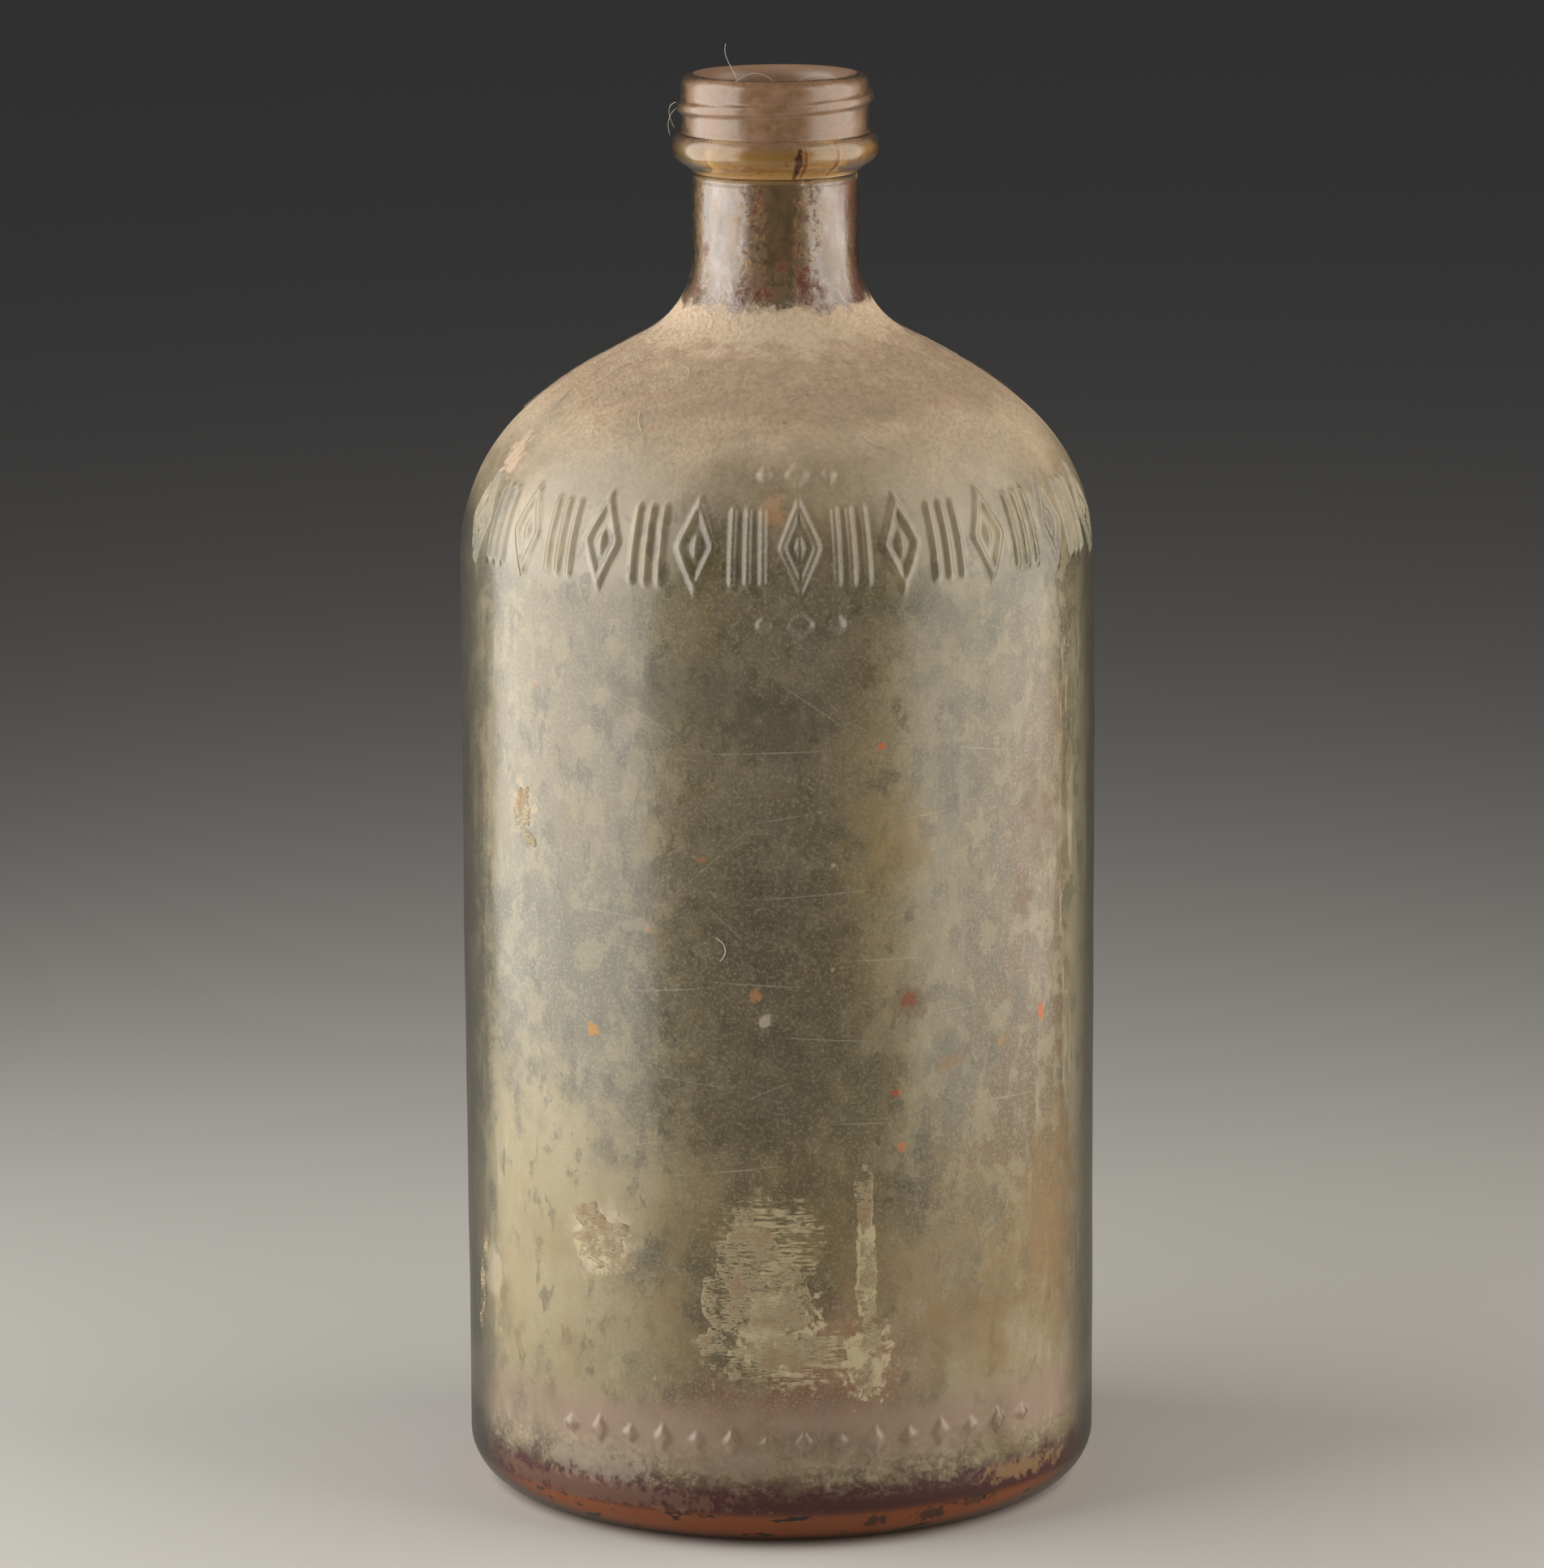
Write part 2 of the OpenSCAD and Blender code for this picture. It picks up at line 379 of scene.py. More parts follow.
# ---- Pieces
def glass_zones():
    """The glass from the middle of the push-up, over the outside, and down the inside."""
    heel = arc((BODY_R - HEEL_R, HEEL_R), HEEL_R, -90, 0, 0.7)
    shoulder = shoulder_outline(0, 0.5)
    band_top = 154.3
    low_shoulder = [p for p in shoulder if p[1] <= band_top]
    high_shoulder = [p for p in shoulder_outline(0, 1.0) if p[1] > band_top + 0.4]
    base = joined(
        arc((0, PUSH_H - DOME_R), DOME_R, 90, 90 - math.degrees(math.asin(SEAT_IN_R / DOME_R)), 3),
        line((SEAT_IN_R, 0), (BODY_R - HEEL_R, 0), 1.3))
    bead = joined(
        line((NECK_R, FILLET_C[1]), (NECK_R, BEAD_FOOT[1] - 0.2), 1.2),
        arc((NECK_R + 0.5, BEAD_FOOT[1] - 0.35), 0.5, 180, 124, 0.12),
        line(BEAD_FOOT, BEAD_UNDER, 0.3)[1:],
        arc(BEAD_C, BEAD_ROUND_R, -56, 60, 0.3),
        arc((LAND_R + 0.75, BEAD_Z + 2.42), 0.75, 218, 180, 0.15))
    finish = joined(
        line((LAND_R, bead[-1][1]), (LAND_R, HEIGHT - LIP_R), 0.28),
        arc(LIP_C, LIP_R, 0, 90, 0.2))
    mouth = arc(MOUTH_C, MOUTH_ROUND, 90, 180, 0.3)
    bore = line(mouth[-1], (BORE_R, FILLET_C[1]), 2.4)
    inside = inner_outline(2.4)[::-1]
    return [
        (base, False, still, 0),
        (joined(heel, line((BODY_R, HEEL_R), (BODY_R, 12.0), 1.5)), False, plain_wall, 0),
        (line((BODY_R, 12.4), (BODY_R, 19.0), 0.4), True, lower_ornament, 0),
        (line((BODY_R, 19.6), (BODY_R, 128.0), 4.5), False, plain_wall, 0),
        (joined(line((BODY_R, 128.5), (BODY_R, SHOULDER_Z), 0.5), low_shoulder),
         True, upper_ornament, 0),
        (high_shoulder, False, plain_wall, 0),
        (bead, False, lambda a, r, z: 0.6 * waviness(a, z), 0),
        (finish, False, thread_lift, 0),
        (joined(mouth, bore), False, lambda a, r, z: 0.5 * waviness(a + 30, z) * (z < 199), 1),
        (inside, False, inner_lift, 1),
    ]


# ---- Node helpers
def srgb(r, g, b):
    """Scene-linear colour from 0-255 display values."""
    def linear(c):
        c /= 255
        return c / 12.92 if c <= 0.04045 else ((c + 0.055) / 1.055) ** 2.4
    return (linear(r), linear(g), linear(b), 1.0)


class Nodes:
    """A node tree. Its calls add nodes and return their outputs."""

    def __init__(self, tree):
        self.tree = tree

    def add(self, kind, **settings):
        node = self.tree.nodes.new(kind)
        for name, value in settings.items():
            setattr(node, name, value)
        return node

    def join(self, value, socket):
        """Links an output to a socket, or sets the socket to a number or a colour."""
        if isinstance(value, bpy.types.NodeSocket):
            self.tree.links.new(value, socket)
        else:
            socket.default_value = value

    def feed(self, node, *values):
        """Gives a node its first inputs in order, and returns its first output."""
        for value, socket in zip(values, node.inputs):
            self.join(value, socket)
        return node.outputs[0]

    def math(self, operation, a, b=0.0, c=0.0):
        return self.feed(self.add("ShaderNodeMath", operation=operation), a, b, c)

    def step(self, value, start, end):
        """0 before start and 1 past end, with a smooth change between. It falls if end is lower."""
        node = self.add("ShaderNodeMapRange", interpolation_type="SMOOTHSTEP")
        return self.feed(node, value, start, end)


class Graph(Nodes):
    """A material's nodes. Places are in mm."""

    def __init__(self, name):
        self.material = bpy.data.materials.new(name)
        self.material.use_nodes = True
        super().__init__(self.material.node_tree)
        self.bsdf = self.tree.nodes["Principled BSDF"]
        coords = self.add("ShaderNodeTexCoord")
        scaled = self.add("ShaderNodeVectorMath", operation="SCALE")
        self.join(coords.outputs["Object"], scaled.inputs[0])
        scaled.inputs["Scale"].default_value = 1000
        self.place = scaled.outputs[0]
        split = self.add("ShaderNodeSeparateXYZ")
        self.join(self.place, split.inputs[0])
        self.x, self.y, self.z = split.outputs
        towards_front = self.math("MULTIPLY", self.y, -1)
        self.angle = self.math("DEGREES", self.math("ARCTAN2", self.x, towards_front))
        self.wobbles = {}

    def surface(self, name, value):
        """Feeds one of the shader's own sockets."""
        self.join(value, self.bsdf.inputs[name])

    def times(self, first, *others):
        """The product of masks."""
        for other in others:
            first = self.math("MULTIPLY", first, other)
        return first

    def either(self, first, *others):
        """The strongest of masks."""
        for other in others:
            first = self.math("MAXIMUM", first, other)
        return first

    def away(self, angle):
        """Degrees from an angle near the front, on either side."""
        return self.math("ABSOLUTE", self.math("SUBTRACT", self.angle, angle))

    def band(self, value, low, high, soft):
        rise = self.step(value, low - soft, low + soft)
        return self.times(rise, self.step(value, high + soft, high - soft))

    def blend(self, kind, first_input, factor, a, b):
        node = self.add("ShaderNodeMix", data_type=kind)
        for value, at in ((factor, 0), (a, first_input), (b, first_input + 1)):
            self.join(value, node.inputs[at])
        return node.outputs

    def mix(self, factor, a, b):
        return self.blend("FLOAT", 2, factor, a, b)[0]

    def tint(self, factor, a, b):
        """A mix of two colours, each a node's output or 0-255 display values."""
        a, b = (srgb(*c) if isinstance(c, tuple) else c for c in (a, b))
        return self.blend("RGBA", 6, factor, a, b)[2]

    def texture(self, kind, size, offset, tall=1.0):
        """A texture node with features about size mm wide, drawn out tall times as high."""
        moved = self.add("ShaderNodeVectorMath", operation="MULTIPLY_ADD")
        self.feed(moved, self.place, (1, 1, 1 / tall), offset)
        node = self.add(kind)
        self.join(moved.outputs[0], node.inputs["Vector"])
        node.inputs["Scale"].default_value = 1 / size
        return node

    def noise(self, size, detail=3.0, tall=1.0, seed=0.0, rough=0.55):
        """Cloudy noise."""
        node = self.texture("ShaderNodeTexNoise", size, (37.7 * seed, 11.3 * seed, 23.1 * seed), tall)
        node.inputs["Detail"].default_value = detail
        node.inputs["Roughness"].default_value = rough
        return node.outputs[0]

    def blots(self, low, high, size, detail=3.0, **shape):
        """Patches of noise: 0 where it is under low and 1 where it is over high."""
        return self.step(self.noise(size, detail, **shape), low, high)

    def specks(self, spacing, radius, share, seed=0.0):
        """Round specks, on a share of the cells of a spacing mm grid."""
        node = self.texture("ShaderNodeTexVoronoi", spacing, (seed * 7.7, seed * 5.1, seed * 9.3))
        pick = self.add("ShaderNodeSeparateColor")
        self.join(node.outputs["Color"], pick.inputs[0])
        near = self.step(node.outputs["Distance"], radius / spacing, 0.4 * radius / spacing)
        return self.times(near, self.step(pick.outputs[0], 1 - share, 1.02 - share))

    def wobble(self, grain):
        """Noise round 0 that makes edges ragged. Every patch of one grain shares it."""
        if grain not in self.wobbles:
            noise = self.noise(grain, 5.0, seed=grain, rough=0.7)
            self.wobbles[grain] = self.math("SUBTRACT", noise, 0.5)
        return self.wobbles[grain]

    def patch(self, angle, z, half_w, half_h, ragged=2.2, grain=1.4, soft=0.3, tilt=0.0):
        """A stain at an angle and height on the wall, half_w by half_h mm, with a ragged edge."""
        node = self.add("ShaderNodeGroup", node_tree=patch_group())
        return self.feed(node, self.angle, self.z, self.wobble(grain), angle, z, half_w, half_h,
                         2 * ragged, 1 + soft, 1 - soft, tilt)

    def bump(self, height, depth, under=None):
        """Bump of depth mm for a height from 0 to 1."""
        node = self.add("ShaderNodeBump")
        node.inputs["Distance"].default_value = depth * MM
        node.inputs["Strength"].default_value = 1.0
        self.join(height, node.inputs["Height"])
        if under is not None:
            self.join(under, node.inputs["Normal"])
        return node.outputs[0]


def patch_group():
    """The nodes of one patch, made once. Inputs: the place, the noise, then the patch's numbers."""
    if "wall_patch" in bpy.data.node_groups:
        return bpy.data.node_groups["wall_patch"]
    tree = bpy.data.node_groups.new("wall_patch", "ShaderNodeTree")
    names = ["angle", "z", "wobble", "at_angle", "at_z", "half_w", "half_h", "ragged", "outer",
             "inner", "tilt"]
    for name in names:
        tree.interface.new_socket(name, in_out="INPUT", socket_type="NodeSocketFloat")
    tree.interface.new_socket("mask", in_out="OUTPUT", socket_type="NodeSocketFloat")
    nodes = Nodes(tree)
    g = dict(zip(names, nodes.add("NodeGroupInput").outputs))
    turn = nodes.math("WRAP", nodes.math("SUBTRACT", g["angle"], g["at_angle"]), 180, -180)
    across = nodes.math("MULTIPLY", turn, math.radians(BODY_R))
    up = nodes.math("MULTIPLY_ADD", across, g["tilt"], nodes.math("SUBTRACT", g["z"], g["at_z"]))
    u = nodes.math("DIVIDE", across, g["half_w"])
    v = nodes.math("DIVIDE", up, g["half_h"])
    length = nodes.math("SQRT", nodes.math("MULTIPLY_ADD", u, u, nodes.math("MULTIPLY", v, v)))
    reach = nodes.math("MULTIPLY_ADD", g["wobble"], g["ragged"], length)
    mask = nodes.step(reach, g["outer"], g["inner"])
    nodes.join(mask, nodes.add("NodeGroupOutput").inputs[0])
    return tree


class Coats:
    """What lies on the glass, from the bottom up: its colour, how much of the glass it covers,
    its roughness, and how much of the smooth top surface still shines through it."""

    def __init__(self, graph, colour, cover, roughness, gloss=0.0):
        self.graph = graph
        self.colour, self.cover, self.roughness, self.gloss = colour, cover, roughness, gloss

    def lay(self, mask, colour=None, cover=None, roughness=None, gloss=None):
        """Lays one more coat where the mask says. A mask in several parts is their product."""
        g = self.graph
        if isinstance(mask, tuple):
            mask = g.times(*mask)
        if colour is not None:
            self.colour = g.tint(mask, self.colour, colour)
        if cover is not None:
            self.cover = g.mix(mask, self.cover, cover)
        if roughness is not None:
            self.roughness = g.mix(mask, self.roughness, roughness)
        if gloss is not None:
            self.gloss = g.mix(mask, self.gloss, gloss)

    def darken_edges(self, colour, amount):
        """The long way through the wall at the edges: deeper in colour, and the haze hides less."""
        g = self.graph
        weight = g.add("ShaderNodeLayerWeight")
        weight.inputs["Blend"].default_value = 0.5
        edge = g.times(g.step(weight.outputs["Facing"], 0.50, 0.88), amount)
        self.colour = g.tint(edge, self.colour, colour)
        self.cover = g.times(self.cover, g.math("MULTIPLY_ADD", edge, -0.8, 1.0))

    def finish(self):
        g = self.graph
        g.surface("Base Color", self.colour)
        g.surface("Roughness", self.roughness)
        g.surface("Transmission Weight", g.math("SUBTRACT", 1.0, self.cover))
        g.surface("Coat Weight", self.gloss)


# ---- Materials
# Stains on the outside: angle, height, half width, half height, colour, how far it covers
STAINS = [
    (-72, 150.5, 2.6, 2.4, (226, 190, 164), 0.90),
    (-4.5, 146.5, 1.6, 2.3, (214, 134, 62), 0.75),
    (-39, 73, 1.0, 0.8, (206, 142, 48), 0.85),
    (50.5, 73, 0.8, 1.4, (214, 104, 48), 0.85),
    (14.5, 114, 0.5, 0.5, (196, 98, 50), 0.9),
    (-8, 79.5, 0.9, 0.8, (190, 132, 84), 0.8),
    (-6.5, 76, 0.9, 0.8, (206, 192, 170), 0.8),
    (19.5, 78, 2.6, 2.2, (142, 98, 58), 0.5),
    (19.5, 78, 1.2, 1.0, (138, 66, 16), 0.85),
    (-38, 43.2, 4.3, 4.0, (222, 200, 172), 0.75),
    (-70, 33, 3.0, 5.0, (226, 208, 176), 0.80),
    (28, 68.3, 1.4, 1.2, (188, 136, 92), 0.6),
    (21, 67.5, 0.6, 1.2, (196, 180, 144), 0.5),
    (18, 57.2, 0.5, 0.6, (204, 124, 66), 0.85),
    (39.5, 70.3, 0.6, 0.8, (196, 138, 80), 0.7),
    (-27.5, 88.2, 0.5, 0.4, (210, 112, 66), 0.85),
    (-17.5, 98.5, 0.9, 0.4, (196, 118, 84), 0.6),
    (-22, 121, 9.0, 4.5, (110, 104, 86), 0.42),
    (-3, 117, 6.0, 4.0, (98, 94, 78), 0.42),
    (-40, 10.5, 9.0, 2.0, (184, 166, 146), 0.65),
    (-14, 12.0, 7.0, 1.6, (178, 156, 134), 0.55),
    (13, 3.6, 1.5, 0.9, (36, 22, 14), 0.9),
    (24, 3.7, 2.2, 0.9, (36, 22, 14), 0.9),
    (34, 4.6, 3.0, 0.7, (52, 32, 18), 0.85),
    (46, 7.6, 8.0, 1.3, (178, 140, 92), 0.7),
    (-42, 6.6, 20.0, 1.5, (172, 124, 96), 0.5),
    (17, 65, 0.6, 0.5, (168, 72, 30), 0.9),
    (17, 100, 5.0, 5.0, (184, 152, 92), 0.55),
    (50, 101, 3.0, 7.0, (142, 100, 60), 0.45),
    (45, 90, 2.0, 3.5, (138, 90, 54), 0.4),
    (55, 42, 7.0, 14.0, (166, 122, 56), 0.5),
    (32.5, 30, 8.0, 6.0, (176, 136, 78), 0.5),
    (-30, 88.5, 2.6, 0.9, (196, 186, 164), 0.65),
    (-56.5, 103, 2.4, 3.2, (214, 192, 156), 0.75),
    (-59, 36, 4.0, 6.5, (200, 180, 142), 0.6),
    (-66, 62, 2.0, 9.0, (196, 184, 154), 0.55),
    (-2, 124, 1.5, 1.0, (176, 160, 128), 0.5),
    (150, 60, 7.0, 9.0, (178, 132, 76), 0.55),
    (-140, 96, 5.0, 12.0, (190, 178, 146), 0.5),
    (118, 40, 9.0, 5.0, (196, 178, 138), 0.6),
    (-165, 122, 4.0, 4.0, (160, 104, 62), 0.55),
    (172, 90, 1.2, 1.0, (120, 50, 32), 0.8),
]

# Broad washes of colour in the haze, laid as the stains are but with soft edges. The two at 141 mm are
# painted highlights where the softboxes reflect off the shoulder.
HAZE_WASHES_AND_HIGHLIGHTS = [
    (-7, 88, 15, 36, (148, 136, 114), 0.28),
    (-2, 120, 14, 20, (158, 146, 124), 0.48),
    (15, 117, 7, 14, (170, 152, 120), 0.44),
    (-57, 85, 12, 14, (142, 132, 106), 0.42),
    (45, 98, 10, 26, (150, 130, 96), 0.42),
    (12, 35, 17, 10, (188, 160, 120), 0.50),
    (-52, 76, 22, 18, (138, 128, 96), 0.42),
    (-62, 46, 15, 17, (172, 152, 90), 0.50),
    (-50, 40, 27, 22, (204, 186, 140), 0.56),
    (-6, 36, 17, 15, (128, 112, 76), 0.30),
    (8, 27, 10, 8, (190, 142, 112), 0.60),
    (-2, 21, 18, 4, (150, 94, 72), 0.62),
    (54, 50, 17, 24, (154, 118, 54), 0.52),
    (52, 96, 7, 30, (150, 116, 74), 0.45),
    (50, 70, 11, 18, (138, 108, 64), 0.42),
    # Painted highlights: pale patches where the softboxes reflect off the shoulder, one on each side.
    (-42, 141, 15, 6, (220, 206, 182), 0.52),
    (30, 141, 9, 5, (206, 192, 164), 0.46),
    (18, 98, 8, 32, (180, 162, 124), 0.48),
    (44, 24, 17, 7, (192, 172, 136), 0.58),
    (-46, 116, 24, 19, (170, 154, 120), 0.42),
    (66, 84, 4, 42, (200, 188, 152), 0.55),
    (-77, 66, 6, 50, (110, 106, 66), 0.20),
    (150, 52, 24, 26, (184, 150, 96), 0.55),
    (-140, 60, 22, 34, (190, 178, 140), 0.48),
    (110, 104, 14, 22, (178, 158, 116), 0.46),
    (-172, 112, 20, 18, (170, 160, 134), 0.42),
]

# Fine scratches: angle, height, half length, slope
SCRATCHES = [
    (-16, 98, 5.5, -0.9), (-12, 88.5, 3.0, 0.9), (6, 73, 6.0, 0.08), (-20, 67, 4.0, 0.12),
    (24, 104, 4.0, -0.10), (-36, 90, 5.0, 0.05), (-28, 118, 6.0, 0.5), (2, 120, 5.0, 0.7),
    (30, 76, 3.5, -0.05), (10, 61, 4.5, 0.03), (-6, 66, 3.0, -0.4), (36, 112, 4.5, 0.16),
    (-5.5, 113.5, 9.0, -0.03), (2, 93.5, 7.5, -0.06), (-24, 79.8, 4.5, -0.10),
    (-8.5, 81, 6.0, 0.05), (-13, 54.5, 9.0, -0.12), (-30, 57.5, 4.0, -0.22),
    (14, 84, 5.0, 0.02), (40, 62, 5.0, 0.04), (-2, 104.5, 5.0, -0.16), (120, 90, 9.0, 0.06),
    (-150, 70, 8.0, -0.05), (175, 110, 7.0, 0.09),
]

CLEAR_GLASS = (226, 220, 196)
GREY_HAZE = (156, 146, 112)
TAN_HAZE = (180, 158, 110)
# Olive of the painted shade along the sides
OLIVE_SHADE = (126, 118, 78)
OCHRE = (154, 120, 62)
CHALK = (216, 206, 178)
MAUVE = (190, 160, 138)
MAROON = (96, 34, 22)
CARAMEL = (198, 104, 40)
TAR = (34, 20, 14)
DUST = (209, 185, 158)
DUST_DARK = (193, 168, 139)
AMBER = (212, 164, 82)
RUST = (128, 66, 36)
DEEP_BROWN = (76, 38, 24)


def lay_body_haze(g, coats, streak, cloud):
    """Weathered haze from the heel to the shoulder, with ochre runs on the right-hand side, painted
    shade along both sides as seen from the front, and two painted highlights on the shoulder.
    """
    body = g.step(g.z, 171, 163)
    broad = g.noise(26, 3.0, tall=1.8, seed=4)
    colour = g.tint(g.step(broad, 0.42, 0.60), GREY_HAZE, TAN_HAZE)
    cover = g.mix(g.step(g.mix(0.45, cloud, streak), 0.38, 0.62), 0.16, 0.42)
    coats.lay(body, colour, cover, 0.30)
    aside = g.step(g.away(-4), 12, 24)
    mottle = g.blots(0.42, 0.62, 2.6, 7.0, tall=1.3, seed=25, rough=0.74)
    coats.lay((body, mottle, g.mix(aside, 0.36, 0.55)), (188, 170, 128), 0.50, gloss=0.30)
    worn = g.times(body, g.blots(0.42, 0.64, 13.0, 4.0, seed=5, rough=0.55))
    coats.lay((worn, 0.5), (146, 136, 104), 0.16)
    # Painted shade: darker olive haze with little gloss along both sides as seen from the front, below
    # the shoulder.
    side_shade = g.times(body, g.step(g.away(-4), 62, 74), g.step(g.away(0), 112, 100),
                  g.step(g.z, 150, 136))
    coats.lay((side_shade, 0.85), OLIVE_SHADE, 0.36, 0.55, 0.08)
    run = g.blots(0.40, 0.62, 9, 4.0, tall=3.5, seed=6)
    right = g.times(g.band(g.angle, 38, 104, 12), g.step(g.z, 138, 112), run)
    coats.lay((right, 0.75), OCHRE, 0.50, gloss=0.22)
    elsewhere = g.times(g.blots(0.56, 0.70, 20, 4.0, tall=2.0, seed=7), g.step(g.z, 130, 110))
    coats.lay((elsewhere, 0.5), OCHRE, 0.5)
    # Two of these washes are painted highlights on the shoulder.
    for angle, z, w, h, tone, share in HAZE_WASHES_AND_HIGHLIGHTS:
        soft = g.patch(angle, z, w, h, ragged=1.3, grain=8.0, soft=0.55)
        coats.lay((soft, body, 0.85), tone, share)
    clump = g.blots(0.50, 0.58, 4.2, 7.0, tall=1.2, seed=27, rough=0.66)
    coats.lay((body, clump, g.mix(aside, 0.16, 0.50)), (200, 184, 146), 0.56, gloss=0.18)
    peeled = g.blots(0.54, 0.61, 3.2, 6.0, tall=1.6, seed=33, rough=0.62)
    coats.lay((body, peeled, g.mix(aside, 0.28, 0.46)), (120, 112, 82), 0.22, gloss=0.45)
    chalk = g.blots(0.50, 0.64, 1.7, 7.0, tall=7.0, seed=8, rough=0.7)
    sides = g.either(g.band(g.angle, 48, 112, 12), g.times(g.band(g.angle, -92, -58, 8), 0.8), 0.12)
    strength = g.times(body, sides, g.mix(g.step(cloud, 0.42, 0.60), 0.12, 0.72))
    coats.lay((chalk, strength, g.step(g.z, 146, 118)), CHALK, 0.72, 0.6, 0.1)


def lay_low_stains(g, coats, cloud):
    """The tan veil low on the body, the mauve haze and the dark stains of the heel and base."""
    speckle = g.times(g.blots(0.50, 0.62, 0.42, 3.0, seed=26, rough=0.7), g.step(g.z, 171, 163))
    coats.lay((speckle, 0.46), (206, 196, 166), 0.62, gloss=0.3)
    veil = g.times(g.band(g.z, 23, 50, 12), g.blots(0.40, 0.62, 8, 5.0, tall=1.6, seed=9))
    coats.lay((veil, 0.6), (190, 162, 116), 0.52, gloss=0.25)
    mauve = g.times(g.band(g.z, 12.5, 20.5, 3.0), g.mix(g.step(cloud, 0.35, 0.6), 0.45, 0.95))
    coats.lay(mauve, MAUVE, 0.60, 0.4, 0.25)
    edge = g.math("MULTIPLY_ADD", g.noise(4.5, 4.0, tall=0.7, seed=10), 6.0, -3.0)
    low = g.math("ADD", g.z, edge)
    coats.lay(g.step(low, 11.5, 8.2), MAROON, 0.42, 0.40)
    coats.lay((g.step(g.z, 5.6, 4.4), 0.9), CARAMEL, 0.38, 0.30)
    tar = g.times(g.blots(0.60, 0.66, 4.5, 3.0, tall=0.35, seed=11), g.band(g.z, 1.2, 5.4, 0.5))
    coats.lay(tar, TAR, 0.92, 0.3)
    coats.lay((g.band(g.z, 5.3, 5.7, 0.15), g.step(cloud, 0.3, 0.5), 0.7), DEEP_BROWN, 0.9)
    chips = g.times(g.blots(0.46, 0.60, 1.1, 7.0, tall=0.8, seed=12, rough=0.8),
                    g.step(cloud, 0.36, 0.56), g.band(low, 8.0, 15, 3.0), g.step(g.z, 6.0, 8.0))
    coats.lay((chips, 0.62), (196, 176, 150), 0.8, 0.6, 0.1)


def lay_label_remains(g, coats):
    """Where a label was: pale glue in torn horizontal lines, and a strip of it to the right."""
    torn = g.blots(0.47, 0.53, 2.6, 5.0, tall=0.13, seed=28, rough=0.66)
    cracks = g.blots(0.42, 0.47, 2.2, 6.0, seed=29, rough=0.7)
    lines = g.either(g.patch(-6, 43.5, 6.5, 7.0, ragged=1.4), g.patch(-2, 28, 10.0, 4.0, ragged=1.8))
    coats.lay((lines, torn, 0.85), (206, 190, 150), 0.85, 0.7, 0.05)
    solid = g.either(g.patch(-5, 32.5, 5.6, 6.0, ragged=1.5, soft=0.12),
                     g.patch(11.3, 40, 1.5, 8.5, ragged=0.7, soft=0.12),
                     g.patch(11, 27, 3.4, 5.0, ragged=1.8, soft=0.2),
                     g.patch(-38, 43, 3.9, 3.9, ragged=1.4, soft=0.1))
    coats.lay((solid, g.mix(cracks, 0.25, 0.95)), (208, 192, 154), 0.88, 0.7, 0.05)


def lay_shoulder_dust(g, coats, cloud):
    """Settled dust, thick on the flat of the shoulder and thinning out over the ornament."""
    ragged = g.math("MULTIPLY_ADD", cloud, 16.0, -8.0)
    up = g.math("ADD", g.z, ragged)
    grain = g.noise(0.8, 3.0, seed=13)
    colour = g.tint(g.step(grain, 0.35, 0.70), DUST, DUST_DARK)
    thin = g.times(g.step(up, 136, 150), g.step(g.z, 174, 170))
    coats.lay((thin, 0.6), colour, 0.62, 0.5, 0.25)
    top = g.math("ADD", g.z, g.math("ADD", g.times(grain, 3), g.times(cloud, 5)))
    thick = g.times(g.step(up, 145, 162), g.step(top, 177, 174))
    coats.lay(thick, colour, 0.93, 0.85, 0.0)
    swept = g.times(thick, g.blots(0.48, 0.66, 9, 5.0, tall=0.6, seed=14))
    coats.lay((swept, g.step(g.z, 166, 156), 0.6), (158, 148, 124), 0.7)
    return thick


